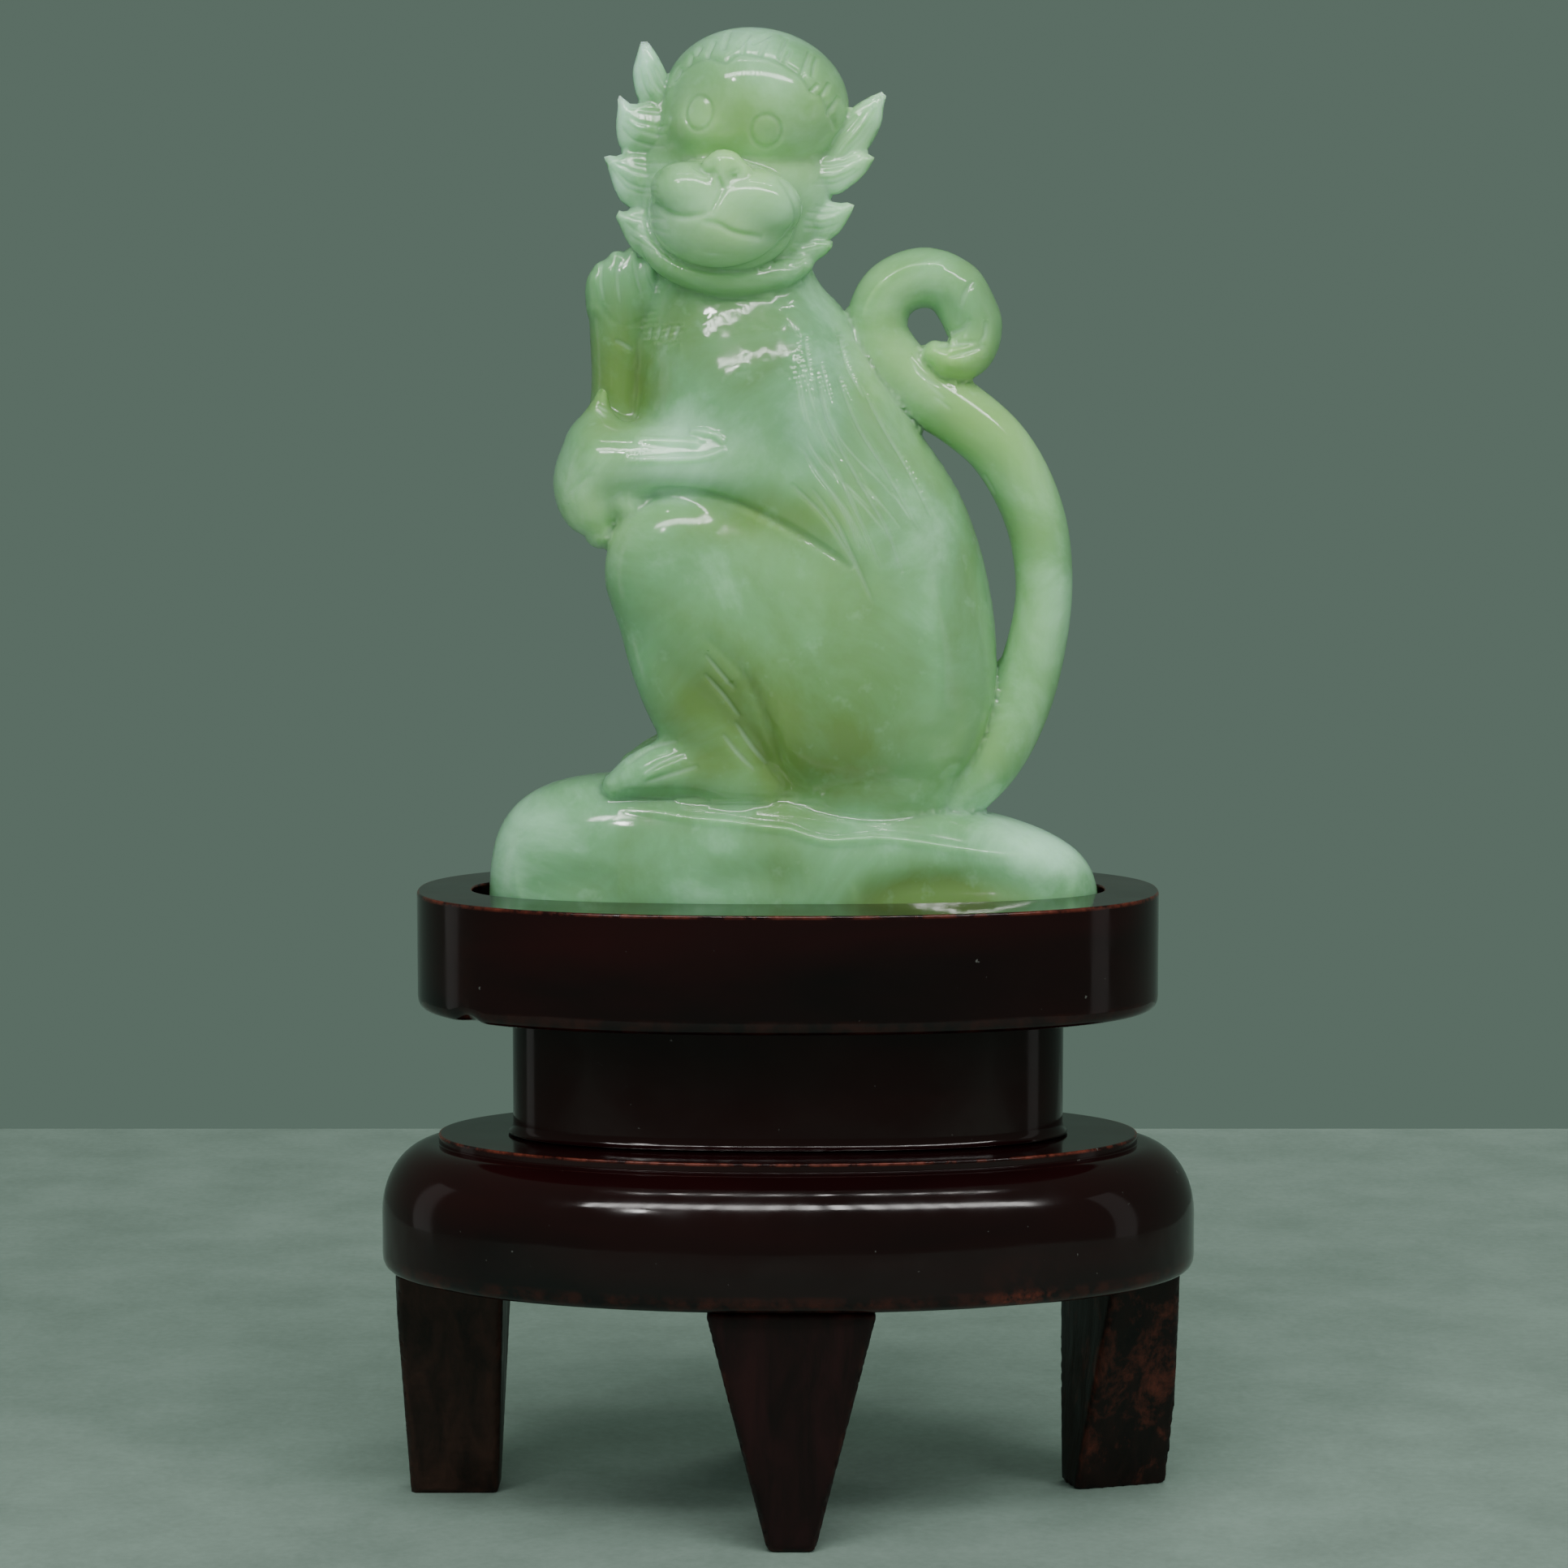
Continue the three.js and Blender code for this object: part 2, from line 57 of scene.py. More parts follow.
# lamps that the gloss mirrors: middle, aim, row length, how many, width, height, watts each, colour
stripLamps = [
    ("rowLamp", (110, -560, 830), (0, 0, 150), 1240, 19, 32, 125, 0.35, (1.0, 1.0, 0.98)),
    ("highRowLamp", (60, -180, 960), (0, 0, 150), 640, 9, 18, 32, 0.09, (1.0, 1.0, 0.98)),
    ("leftSideLamp", (-620, 60, 150), (0, 0, 100), 0, 1, 150, 560, 0.09, (1.0, 1.0, 0.98)),
    ("rightSideLamp", (600, -130, 180), (0, 0, 100), 0, 1, 130, 560, 0.075, (1.0, 1.0, 0.98)),
    ("spotLamp", (-360, -640, 700), (0, 0, 150), 0, 1, 46, 60, 0.6, (1.0, 1.0, 0.98)),
]


def addNode(tree, kind, inputs=None, **settings):
    made = tree.nodes.new(kind)
    for key, value in settings.items():
        setattr(made, key, value)
    for key, value in (inputs or {}).items():
        if isinstance(value, bpy.types.NodeSocket):
            tree.links.new(value, made.inputs[key])
        else:
            made.inputs[key].default_value = value
    return made


def newMaterial(name):
    material = bpy.data.materials.new(name)
    material.use_nodes = True
    material.node_tree.nodes.clear()
    return material, material.node_tree


def ramp(tree, source, stops):
    made = addNode(tree, "ShaderNodeValToRGB", {"Fac": source})
    while len(made.color_ramp.elements) < len(stops):
        made.color_ramp.elements.new(0.5)
    for element, (place, colour) in zip(made.color_ramp.elements, stops):
        element.position = place
        element.color = (*colour, 1)
    return made.outputs["Color"]


def grey(value):
    return (value, value, value)


def blendColour(tree, share, first, second):
    made = addNode(tree, "ShaderNodeMix", data_type="RGBA", clamp_factor=True)
    for socket, value in ((made.inputs[0], share), (made.inputs[6], first), (made.inputs[7], second)):
        if isinstance(value, bpy.types.NodeSocket):
            tree.links.new(value, socket)
        elif isinstance(value, (int, float)):
            socket.default_value = value
        else:
            socket.default_value = (*value, 1)
    return made.outputs[2]


def maths(tree, operation, first, second=0.0, third=0.0, clamp=False):
    return addNode(tree, "ShaderNodeMath", {0: first, 1: second, 2: third}, operation=operation,
                   use_clamp=clamp).outputs[0]


def noise(tree, vector, scale, detail=3.0, roughness=0.5, distortion=0.0):
    return addNode(tree, "ShaderNodeTexNoise", {"Vector": vector, "Scale": scale, "Detail": detail,
                   "Roughness": roughness, "Distortion": distortion}).outputs["Fac"]


def placed(tree, vector, rotation=(0, 0, 0), scale=(1, 1, 1)):
    return addNode(tree, "ShaderNodeMapping",
                   {"Vector": vector, "Rotation": rotation, "Scale": scale}).outputs["Vector"]


def painted(tree, name):
    return addNode(tree, "ShaderNodeAttribute", attribute_name=name, attribute_type="GEOMETRY").outputs["Fac"]


def makeCamera():
    lens = bpy.data.cameras.new("shotCamera")
    lens.lens, lens.sensor_width = shot["lens"], shot["sensor"]
    lens.clip_start, lens.clip_end = 0.01, 20
    camera = bpy.data.objects.new("shotCamera", lens)
    camera.location = [v * mm for v in shot["place"]]
    camera.rotation_euler = (math.radians(shot["pitch"]), 0, 0)
    bpy.context.scene.collection.objects.link(camera)
    bpy.context.scene.camera = camera


def makeLamp(name, place, aim, width, depth, watts, colour, mirrored):
    light = bpy.data.lights.new(name, "AREA")
    light.shape, light.size, light.size_y = "RECTANGLE", width * mm, depth * mm
    light.energy, light.color = watts, colour
    lamp = bpy.data.objects.new(name, light)
    lamp.location = Vector(place) * mm
    lamp.rotation_euler = (Vector(aim) - Vector(place)).to_track_quat("-Z", "Y").to_euler()
    lamp.visible_glossy = mirrored
    bpy.context.scene.collection.objects.link(lamp)


def makeGround():
    reach = ground["reach"] * mm
    mesh = bpy.data.meshes.new("floorSheet")
    mesh.from_pydata([(-reach, -reach, 0), (reach, -reach, 0), (reach, reach, 0), (-reach, reach, 0)], [],
                     [(0, 1, 2, 3)])
    sheet = bpy.data.objects.new("floorSheet", mesh)
    bpy.context.scene.collection.objects.link(sheet)
    material, tree = newMaterial("palePaper")
    place = addNode(tree, "ShaderNodeTexCoord").outputs["Object"]
    fibres = noise(tree, place, ground["speck"], 4, 0.7)
    mottle = maths(tree, "MULTIPLY_ADD", noise(tree, place, ground["cloud"], 5, 0.6), 0.6,
                   maths(tree, "MULTIPLY", fibres, 0.4))
    colour = ramp(tree, mottle, [(0.36, ground["dark"]), (0.62, ground["light"])])
    bump = addNode(tree, "ShaderNodeBump", {"Strength": 0.25, "Distance": 0.0002, "Height": fibres})
    shader = addNode(tree, "ShaderNodeBsdfPrincipled",
                     {"Base Color": colour, "Roughness": ground["roughness"], "Normal": bump.outputs[0]})
    addNode(tree, "ShaderNodeOutputMaterial", {"Surface": shader.outputs[0]})
    mesh.materials.append(material)
    world = bpy.data.worlds.new("room")
    world.use_nodes = True
    world.node_tree.nodes["Background"].inputs["Color"].default_value = (*ground["wall"], 1)
    world.node_tree.nodes["Background"].inputs["Strength"].default_value = ground["wallPower"]
    bpy.context.scene.world = world


makeCamera()
makeGround()
for lamp in softLamps:
    makeLamp(*lamp, mirrored=False)
for name, middle, aim, length, many, width, height, watts, colour in stripLamps:
    for i in range(many):
        along = length * (i / max(many - 1, 1) - 0.5) if many > 1 else 0
        place = (middle[0] + along, *middle[1:])
        makeLamp(name + str(i), place, aim, width, height, watts, colour, mirrored=True)
print("camera, floor and lamps made")


# the carved monkey: soft solid forms run together, skinned, then engraved

carving = {
    "rockTop": 98.0,      # figure heights count from here
    "lowCorner": (-43.0, -17.5),
    "highCorner": (45.0, 17.5, 108.0),
    "underside": 1.2,
    "spanSteps": 12,      # path steps between two stations
    "cell": 0.92,         # skin step before the fine passes
    "finePasses": ((0.85, 0.7, False), (0.45, 0.45, True)),  # reach from a line, widest line, front only
    "relaxing": 2,        # rounds that even the skin out before it is refined
    "calm": 0.2,          # points further off than this share of a cell stay
    "stride": 0.4,        # furthest slide in one settling round
    "leastFacing": 0.12,  # lines fade out where the skin turns away
    "facingFade": 0.2,
    "hairs": 16,
    "seed": 4,
}

# stations of a limb: along, height, half width, half depth, towards the back
torso = [[-7.6, 74, 9.5, 6, 0], [-6.9, 67, 12.8, 8.6, 0], [-5.2, 60, 15.3, 12.6, 0],
         [-3.2, 52, 17.7, 14.1, 0], [0.2, 43, 19.4, 13.8, 0], [4.2, 33, 21.3, 14, 0],
         [7.8, 22, 20.6, 14.4, 0], [9.3, 11, 18, 13.8, 0], [9.5, 4, 14.5, 12, 0]]
tail = [[22, 1.5, 5.4, 6.5, 0], [27.2, 6.5, 5.2, 6, 0], [31, 12.5, 4.7, 5.5, 0], [33.6, 19.5, 4.2, 5, 0],
        [35.1, 28.2, 3.9, 4.8, 0], [34.5, 36.5, 4.1, 4.8, 0], [32.2, 43.3, 4.3, 4.8, 0],
        [28.6, 49, 4.4, 4.8, 0], [23.8, 53.2, 4.5, 4.9, 0], [18.6, 56.6, 4.6, 5, 0],
        [14.2, 60.4, 4.5, 5.2, 0], [12.1, 65.2, 4.2, 5.2, 0], [13.8, 69.9, 4.1, 5.2, 0],
        [18.4, 71.9, 4.1, 5.1, 0], [22.9, 70.2, 4, 5, 0], [25.3, 65.6, 3.9, 4.8, 0]]
tailTip = [[22.9, 70.2, 4, 5, 0], [25.3, 65.6, 3.9, 4.8, 0], [24.4, 61.9, 3.6, 4.5, -1.1],
           [21.9, 60.9, 2.9, 4.4, -2.2], [20, 61.6, 1.8, 3.4, -2.6]]
haunch = {"middle": (8.6, -4.4, 17.5), "halves": (19.2, 10.3, 20), "softness": 3.5}
thigh = [[7, 19.5, 16.3, 10, -5.6], [-1, 24, 15.2, 10, -6.2], [-8, 28.6, 13.0, 9.4, -6.6],
         [-13.6, 32.6, 10.2, 8.3, -6.6]]
knee = {"middle": (-15.4, -6.2, 35.6), "halves": (5.6, 6.2, 5.8), "softness": 6.0}
shin = [[-14.6, 31, 9.6, 6.6, -7], [-13.6, 22, 8.4, 6.4, -7.2], [-11.5, 15, 7.8, 6.2, -7.4],
        [-8.8, 9, 6.8, 5.6, -7.6], [-7.4, 4.5, 5.8, 5.2, -7.8]]
shinSoftness = ((12, 1.2), (26, 3.2))  # the crease behind the shin closes above this height
foot = [[-3.5, 2.6, 2.9, 4.4, -7.4], [-10, 4.6, 4, 4.8, -8], [-16, 5.3, 4.1, 4.7, -8.4],
        [-20.4, 4.4, 3.2, 4.3, -8.4], [-23.4, 3.2, 1.9, 3.4, -8.2]]
farFoot = [[-3, 4.2, 3.4, 4.6, 7.6], [-11, 5.8, 3.9, 4.8, 7.6], [-17, 5.4, 3.5, 4.6, 7.8],
           [-21.2, 4, 2.4, 4, 7.8]]
raisedArm = [[-25, 43, 5, 6, 4], [-24, 50, 3.9, 5, 3], [-23.4, 57, 3.6, 4.4, 2], [-23.2, 64, 3.9, 4.2, 0.6],
             [-22.7, 69.5, 4.8, 3.8, -0.4]]
forearm = [[-24.5, 47, 5.6, 7.5, -5.5], [-17, 47.2, 4.9, 6.8, -7.6], [-9, 46.6, 4.8, 6.6, -8.4],
           [-1, 44.2, 5.4, 6.4, -8.8], [6, 40, 5.6, 6, -9], [10.5, 34.5, 3.6, 5, -9.6],
           [12.2, 29.5, 1.3, 3, -11.4]]
hand = [[-26, 49, 4.4, 6.5, -4], [-26.7, 44.5, 5.3, 8, -3.4], [-26.3, 40.5, 4.7, 7.6, -2.6],
        [-25.4, 37.6, 2.6, 6, -2]]
# where the hand rests on the knee
cuff = {"middle": (-21.4, -5, 41.4), "halves": (2.8, 6, 2.9), "softness": 2.0}
thumb = [[-26, 49, 3.6, 3.6, -5], [-25.7, 53, 2.1, 2.4, -5], [-25.2, 56.2, 0.7, 1, -4.8]]
# along, root, tip, half width
fingers = [(-25.9, 68, 74.3, 1.45), (-23.8, 69, 75.9, 1.5), (-21.5, 69, 76.5, 1.5), (-19.3, 69, 76, 1.4)]
beard = [[-19.6, 77.4, 1.4, 2.2, -4.5], [-15.6, 73.4, 2, 3, -6], [-8.4, 71.3, 2.2, 3.2, -7.2],
         [-1.8, 72.1, 2.1, 3, -6], [2, 73.6, 1.4, 2.2, -5]]
# hair leaves round the face: middle towards the back, then the outline from the root round the tip
leaves = [
    (-2.2, [[-15.8, 93.3], [-17.7, 93.3], [-19, 94.2], [-20.2, 95.6], [-20.8, 97.5], [-21, 99.6],
        [-20.4, 101.9], [-19.6, 103.9], [-18.4, 102.8], [-17.2, 100.9], [-16.2, 98.8], [-15.4, 96.9]]),
    (-2.9, [[-14.5, 87], [-18.2, 87.1], [-20.4, 87.7], [-22, 88.5], [-23, 90], [-23.3, 92.3], [-23.1, 94.3],
        [-22.9, 96.3], [-21.7, 95.5], [-20.9, 95.1], [-19.8, 95.4], [-18.4, 95.6], [-14.5, 95.6]]),
    (-3.5, [[-14.5, 80.7], [-19.5, 80.8], [-21, 81], [-22.5, 82], [-23.5, 83.7], [-24.2, 86], [-25.1, 88.8],
        [-23.8, 88.2], [-22.8, 88.3], [-21.4, 88.8], [-14.5, 88.9]]),
    (-4.1, [[-13.9, 73.7], [-16.4, 72.6], [-19.2, 74.2], [-21.3, 76], [-22.6, 78.4], [-23.6, 81],
        [-22.2, 80.7], [-20.8, 81.2], [-19.2, 81.4], [-14.5, 81.6]]),
    (-2.5, [[5.2, 85], [8.6, 87.1], [10.7, 89], [11.9, 90.9], [12.7, 92.8], [12.9, 94.6], [13.2, 96.9],
        [10.9, 96.1], [9, 95], [7.7, 93.8], [5.6, 91.7], [4.2, 87.7]]),
    (-3.2, [[1.6, 83], [6.4, 83], [8.3, 84], [9.9, 85.3], [11, 86.7], [11.8, 88.4], [10.8, 88.5], [10, 88.9],
        [8.6, 88.9], [6.7, 88.4], [1.6, 88.2]]),
    (-3.8, [[0.2, 77], [4.6, 76.7], [6.5, 77.5], [7.7, 79], [8.6, 80.6], [9.3, 82.4], [7.6, 81.9], [6.4, 82],
        [5.4, 82.2], [1.6, 83]]),
    (-4.3, [[-2.5, 72.4], [0.8, 72.2], [2.4, 73.2], [4.2, 74.3], [5.5, 75.3], [6.1, 76.6], [5, 77],
        [3.6, 77.2], [0.2, 77.4]]),
]
leafSheet = {"edge": 0.85, "swell": 0.42, "thickest": 2.3, "softness": 0.35}
# softness, middle, half sizes, roll: ruff, skull, brow, cheek, muzzle, lips, nose and nostrils
headBalls = [
    (1.2, (-7.5, -2.2, 83), (13.4, 7.2, 12.2), 12),
    (1.6, (-5, 3.4, 87.5), (11.6, 8.6, 13), 12),
    (0.8, (-4.3, -0.5, 95.4), (12.6, 12.4, 10.1), 8),
    (2.5, (-11.2, -2.6, 91.6), (5.9, 9, 5), 8),
    (0.4, (-8.9, -8, 80.1), (9.9, 8.2, 7.7), 8),
    (1.0, (-13.2, -11.6, 83.2), (5.2, 4.6, 3.9), 10),
    (1.0, (-4.1, -11.5, 81.7), (6.1, 4.8, 4.4), 14),
    (0.7, (-8.3, -13.5, 86.9), (2.5, 2.1, 1.8), 12),
    (0.8, (-8.9, -14.1, 85.3), (1.2, 1.5, 1.9), 6),
    (0.5, (-10.4, -13.6, 86.6), (1.1, 1.4, 1.1), 0),
    (0.5, (-6.2, -13.7, 86), (1.3, 1.4, 1.1), 20),
]
rock = {"middle": 0.8, "halfLength": 42.1, "halfDepth": 15.7, "foot": 81.3, "height": 19.0, "fall": 4.5,
        "planRoundness": 2.4, "riseRoundness": 3.6, "softness": 1.0}
# how far a form runs into the others of its group, then how far a group runs into the next
softForms = {"torso": 1.0, "forearm": 3.2, "hand": 1.6, "thumb": 1.4, "raisedArm": 2.2, "thigh": 3.0,
             "foot": 2.0, "finger": 1.1, "beard": 0.8, "tail": 1.0, "tailTip": 0.25}
meeting = {"lower": 1.0, "upper": 1.1, "tail": 0.4, "head": 0.5, "rock": 0.6}


def smoothPath(stations, steps):
    known = np.array(stations, float)
    known = np.vstack([2 * known[0] - known[1], known, 2 * known[-1] - known[-2]])
    out = []
    for a, b, c, d in zip(known, known[1:], known[2:], known[3:]):
        for t in np.arange(steps) / steps:
            out.append(0.5 * (2 * b + (c - a) * t + (2 * a - 5 * b + 4 * c - d) * t * t
                              + (3 * b - a - 3 * c + d) * t ** 3))
    return np.array(out + [known[-2]])


def ovalField(u, v, halfU, halfV, square):  # how far outside an oval, close enough near its edge
    a, b = np.abs(u) / halfU, np.abs(v) / halfV
    near = np.maximum((a ** square + b ** square) ** (1 / square), 1e-3)
    slope = np.sqrt((a ** (square - 1) / halfU) ** 2 + (b ** (square - 1) / halfV) ** 2)
    return (near - 1) / np.maximum(slope / near ** (square - 1), 1e-6)


# square: 2 gives an oval section, more is fuller at the corners
def limbForm(stations, softness, square=2):
    path = smoothPath(stations, carving["spanSteps"])
    wide = path[:, 2].max()
    low = np.array([path[:, 0].min() - wide, (path[:, 4] - path[:, 3]).min(), path[:, 1].min() - wide])
    high = np.array([path[:, 0].max() + wide, (path[:, 4] + path[:, 3]).max(), path[:, 1].max() + wide])

    def field(points):
        flat = points[:, [0, 2]]
        nearest = ((flat ** 2).sum(1)[:, None] - 2 * flat @ path[:, :2].T
                   + (path[:, :2] ** 2).sum(1)).argmin(1)
        best = np.full(len(points), 1e3)
        # the two spans at the nearest station
        for first in (np.maximum(nearest - 1, 0), np.minimum(nearest, len(path) - 2)):
            a, b = path[first], path[first + 1]
            step = b[:, :2] - a[:, :2]
            share = np.clip(((flat - a[:, :2]) * step).sum(1) / (step ** 2).sum(1), 0, 1)
            here = a + share[:, None] * (b - a)
            across = np.linalg.norm(flat - here[:, :2], axis=1)
            outside = ovalField(across, points[:, 1] - here[:, 4], here[:, 2], here[:, 3], square)
            best = np.minimum(best, outside)
        return best

    return field, softness, low, high


def leafForm(depth, outline):  # a plate with a thin rounded rim that swells towards its middle
    edge = smoothPath([[x, z, 0] for x, z in outline], 4)[:, :2]
    closing = np.vstack([edge, edge[:1]])
    thickest = leafSheet["thickest"]

    def field(points):
        flat = points[:, [0, 2]]
        away, inside = np.full(len(points), 1e3), np.zeros(len(points), bool)
        for a, b in zip(closing, closing[1:]):
            step = b - a
            share = np.clip(((flat - a) @ step) / max(step @ step, 1e-9), 0, 1)
            away = np.minimum(away, np.linalg.norm(flat - a - share[:, None] * step, axis=1))
            crosses = (a[1] > flat[:, 1]) != (b[1] > flat[:, 1])
            rise = step[1] if step[1] else 1e-9
            inside ^= crosses & (flat[:, 0] < a[0] + step[0] * (flat[:, 1] - a[1]) / rise)
        out = np.where(inside, -away, away)
        rim = leafSheet["edge"]
        half = np.clip(rim + leafSheet["swell"] * np.where(inside, away, 0), rim, thickest)
        u, v = out + rim, np.abs(points[:, 1] - depth) - half + rim
        return np.minimum(np.maximum(u, v), 0) + np.hypot(np.maximum(u, 0), np.maximum(v, 0)) - rim

    low, high = np.insert(edge.min(0), 1, depth - thickest), np.insert(edge.max(0), 1, depth + thickest)
    return field, leafSheet["softness"], low, high


def mirrorLimb(stations):
    return [[x, z, wide, deep, -y] for x, z, wide, deep, y in stations]


def ballForm(middle, halves, roll, softness):
    middle, halves = np.array(middle, float), np.array(halves, float)
    turn = math.radians(roll)
    reach = np.array([max(halves[0], halves[2]), halves[1], max(halves[0], halves[2])])

    def field(points):
        away = points - middle
        local = np.stack([away[:, 0] * math.cos(turn) - away[:, 2] * math.sin(turn), away[:, 1],
                          away[:, 0] * math.sin(turn) + away[:, 2] * math.cos(turn)], 1)
        near = np.linalg.norm(local / halves, axis=1)
        slope = np.linalg.norm(local / halves ** 2, axis=1)
        return near * (near - 1) / np.maximum(slope, 1e-6)

    return field, softness, middle - reach, middle + reach


def rockForm():
    drop = carving["rockTop"]
    foot = rock["foot"] - drop

    def field(points):
        u = (points[:, 0] - rock["middle"]) / rock["halfLength"]
        v = points[:, 1] / rock["halfDepth"]
        w = (points[:, 2] - foot) / (rock["height"] - rock["fall"] * np.clip(u, -1, 1))
        plan = (np.abs(u) ** rock["planRoundness"]
                + np.abs(v) ** rock["planRoundness"]) ** (rock["riseRoundness"] / rock["planRoundness"])
        near = (plan + np.abs(w) ** rock["riseRoundness"]) ** (1 / rock["riseRoundness"]) - 1
        pull = np.sqrt((u / rock["halfLength"]) ** 2 + (v / rock["halfDepth"]) ** 2
                       + (w / rock["height"]) ** 2)
        side = near * (near + 1) / np.maximum(pull, 1e-6)
        return np.maximum(side, foot - points[:, 2])

    reach = np.array([rock["halfLength"], rock["halfDepth"], rock["height"] + rock["fall"]])
    middle = np.array([rock["middle"], 0, foot])
    return field, rock["softness"], middle - reach, middle + reach


def mirrorBall(ball, side):
    x, y, z = ball["middle"]
    return ballForm((x, y * side, z), ball["halves"], 0, ball["softness"])


def carvingForms():  # groups of forms: those of a group run together, groups meet in a crisper crease
    soft = softForms
    lower = [limbForm(torso, soft["torso"])]
    upper = [limbForm(torso, soft["torso"]), limbForm(forearm, soft["forearm"]), limbForm(hand, soft["hand"]),
             limbForm(thumb, soft["thumb"]), limbForm(raisedArm, soft["raisedArm"]), mirrorBall(cuff, 1)]
    for side in (1, -1):
        near = side == 1
        lower.append(mirrorBall(haunch, side))
        lower.append(limbForm(thigh if near else mirrorLimb(thigh), soft["thigh"], square=2.6))
        lower.append(mirrorBall(knee, side))
        lower.append(limbForm(shin if near else mirrorLimb(shin), shinSoftness))
        lower.append(limbForm(foot if near else farFoot, soft["foot"]))
    for x, root, tip, half in fingers:
        upper.append(limbForm([[x, root, half, 2.6, -0.6], [x, (root + tip) / 2, half, 2.4, -1.2],
                               [x + 0.5, tip - half, half * 0.75, 1.7, -1.4]], soft["finger"]))
    balls = [ballForm(middle, halves, roll, amount) for amount, middle, halves, roll in headBalls]
    hair = [leafForm(depth, outline) for depth, outline in leaves] + [limbForm(beard, soft["beard"])]
    curl = [limbForm(tail, soft["tail"]), limbForm(tailTip, soft["tailTip"])]
    return [(meeting["lower"], lower), (meeting["upper"], upper), (meeting["tail"], curl),
            (meeting["head"], balls[:4] + hair + balls[4:]), (meeting["rock"], [rockForm()])]


def runTogether(first, second, soft):
    share = np.clip(0.5 + 0.5 * (first - second) / soft, 0, 1)
    return first * (1 - share) + second * share - soft * share * (1 - share)


def fieldAt(points, groups):
    total = None
    for groupSoft, forms in groups:
        value = np.full(len(points), 50.0)
        for field, soft, low, high in forms:
            even = isinstance(soft, float)  # else pairs of height and softness
            margin = soft + 2.5 if even else 5.5
            near = np.flatnonzero(np.all((points > low - margin) & (points < high + margin), axis=1))
            if not len(near):
                continue
            if not even:
                soft = np.interp(points[near, 2], [height for height, _ in soft],
                                 [amount for _, amount in soft])
            value[near] = runTogether(value[near], field(points[near]), soft)
        total = value if total is None else runTogether(total, value, groupSoft)
    return total


def fieldSlope(points, forms, step=0.08):
    slope = np.zeros_like(points)
    for corner in ((1, 1, 1), (1, -1, -1), (-1, 1, -1), (-1, -1, 1)):
        corner = np.array(corner, float)
        slope += corner * fieldAt(points + corner * step, forms)[:, None]
    return slope / (4 * step)


def settle(points, forms, rounds):  # slides points along the slope until they lie on the skin
    for _ in range(rounds):
        value, slope = fieldAt(points, forms), fieldSlope(points, forms)
        steep = np.maximum((slope ** 2).sum(1), 0.05)
        points = points - np.clip(value / steep, -carving["stride"], carving["stride"])[:, None] * slope
    return points


def skin(value, low, cell):  # one point in each cell that the surface crosses, one quad round each edge
    size = np.array(value.shape) - 1
    total, count = np.zeros((*size, 3)), np.zeros(size)
    inside = value < 0
    for axis in range(3):
        others = [a for a in range(3) if a != axis]
        for du in (0, 1):
            for dv in (0, 1):
                start = [0, 0, 0]
                start[others[0]], start[others[1]] = du, dv
                near = tuple(slice(s, s + n) for s, n in zip(start, size))
                start[axis] = 1
                far = tuple(slice(s, s + n) for s, n in zip(start, size))
                cut = inside[near] != inside[far]
                share = np.where(cut, value[near] / np.where(cut, value[near] - value[far], 1), 0)
                total[..., axis] += np.where(cut, share, 0)
                total[..., others[0]] += cut * du
                total[..., others[1]] += cut * dv
                count += cut
    used = np.argwhere(count > 0)
    number = np.full(size, -1)
    number[tuple(used.T)] = np.arange(len(used))
    points = low + cell * (used + total[tuple(used.T)] / count[tuple(used.T)][:, None])
    quads = []
    for axis in range(3):
        u, v = (axis + 1) % 3, (axis + 2) % 3
        near = [slice(None)] * 3
        far = [slice(None)] * 3
        near[axis], far[axis] = slice(0, -1), slice(1, None)
        for way in (True, False):
            edge = np.argwhere(inside[tuple(near)] & ~inside[tuple(far)]
                               if way else ~inside[tuple(near)] & inside[tuple(far)])
            edge = edge[(edge[:, u] > 0) & (edge[:, v] > 0) & (edge[:, u] < size[u]) & (edge[:, v] < size[v])]
            corners = []
            for du, dv in ((-1, -1), (0, -1), (0, 0), (-1, 0)):
                at = edge.copy()
                at[:, u] += du
                at[:, v] += dv
                corners.append(number[tuple(at.T)])
            quads.append(np.stack(corners if way else corners[::-1], 1))
    return points, np.vstack(quads)


# engraved lines, as along and height seen from the front

# lines whose ground look stays pale
scratched = ("leafLines", "hairBand", "backLocks", "shinLocks", "hairStrokes", "chestTicks", "wristLine",
             "fingerGaps", "thumbLines", "tailCuts", "tailStreaks", "toes")


def spread(line, many):  # the line as evenly spaced points
    line = np.array(line, float)
    along = np.concatenate([[0], np.cumsum(np.linalg.norm(np.diff(line, axis=0), axis=1))])
    places = np.linspace(0, along[-1], many)
    return np.stack([np.interp(places, along, line[:, 0]), np.interp(places, along, line[:, 1])], 1)


def leafLines():
    lines = []
    pick = np.random.default_rng(carving["seed"])
    for _, outline in leaves:
        outline = np.array(outline)
        tip = np.linalg.norm(outline - (outline[0] + outline[-1]) / 2, axis=1).argmax()
        one, other = spread(outline[:tip + 1], 16), spread(outline[tip:][::-1], 16)
        for share in (0.22, 0.4, 0.58, 0.76):
            share += pick.uniform(-0.05, 0.05)
            first, last = pick.integers(2, 5), pick.integers(9, 14)
            lines.append((one * (1 - share) + other * share)[first:last])
    return lines


ridge = [[0.4, 67.2], [1.5, 60.1], [4.2, 50.4], [11.9, 41.7], [17.3, 34.1], [19.8, 24.2], [19.9, 11]]


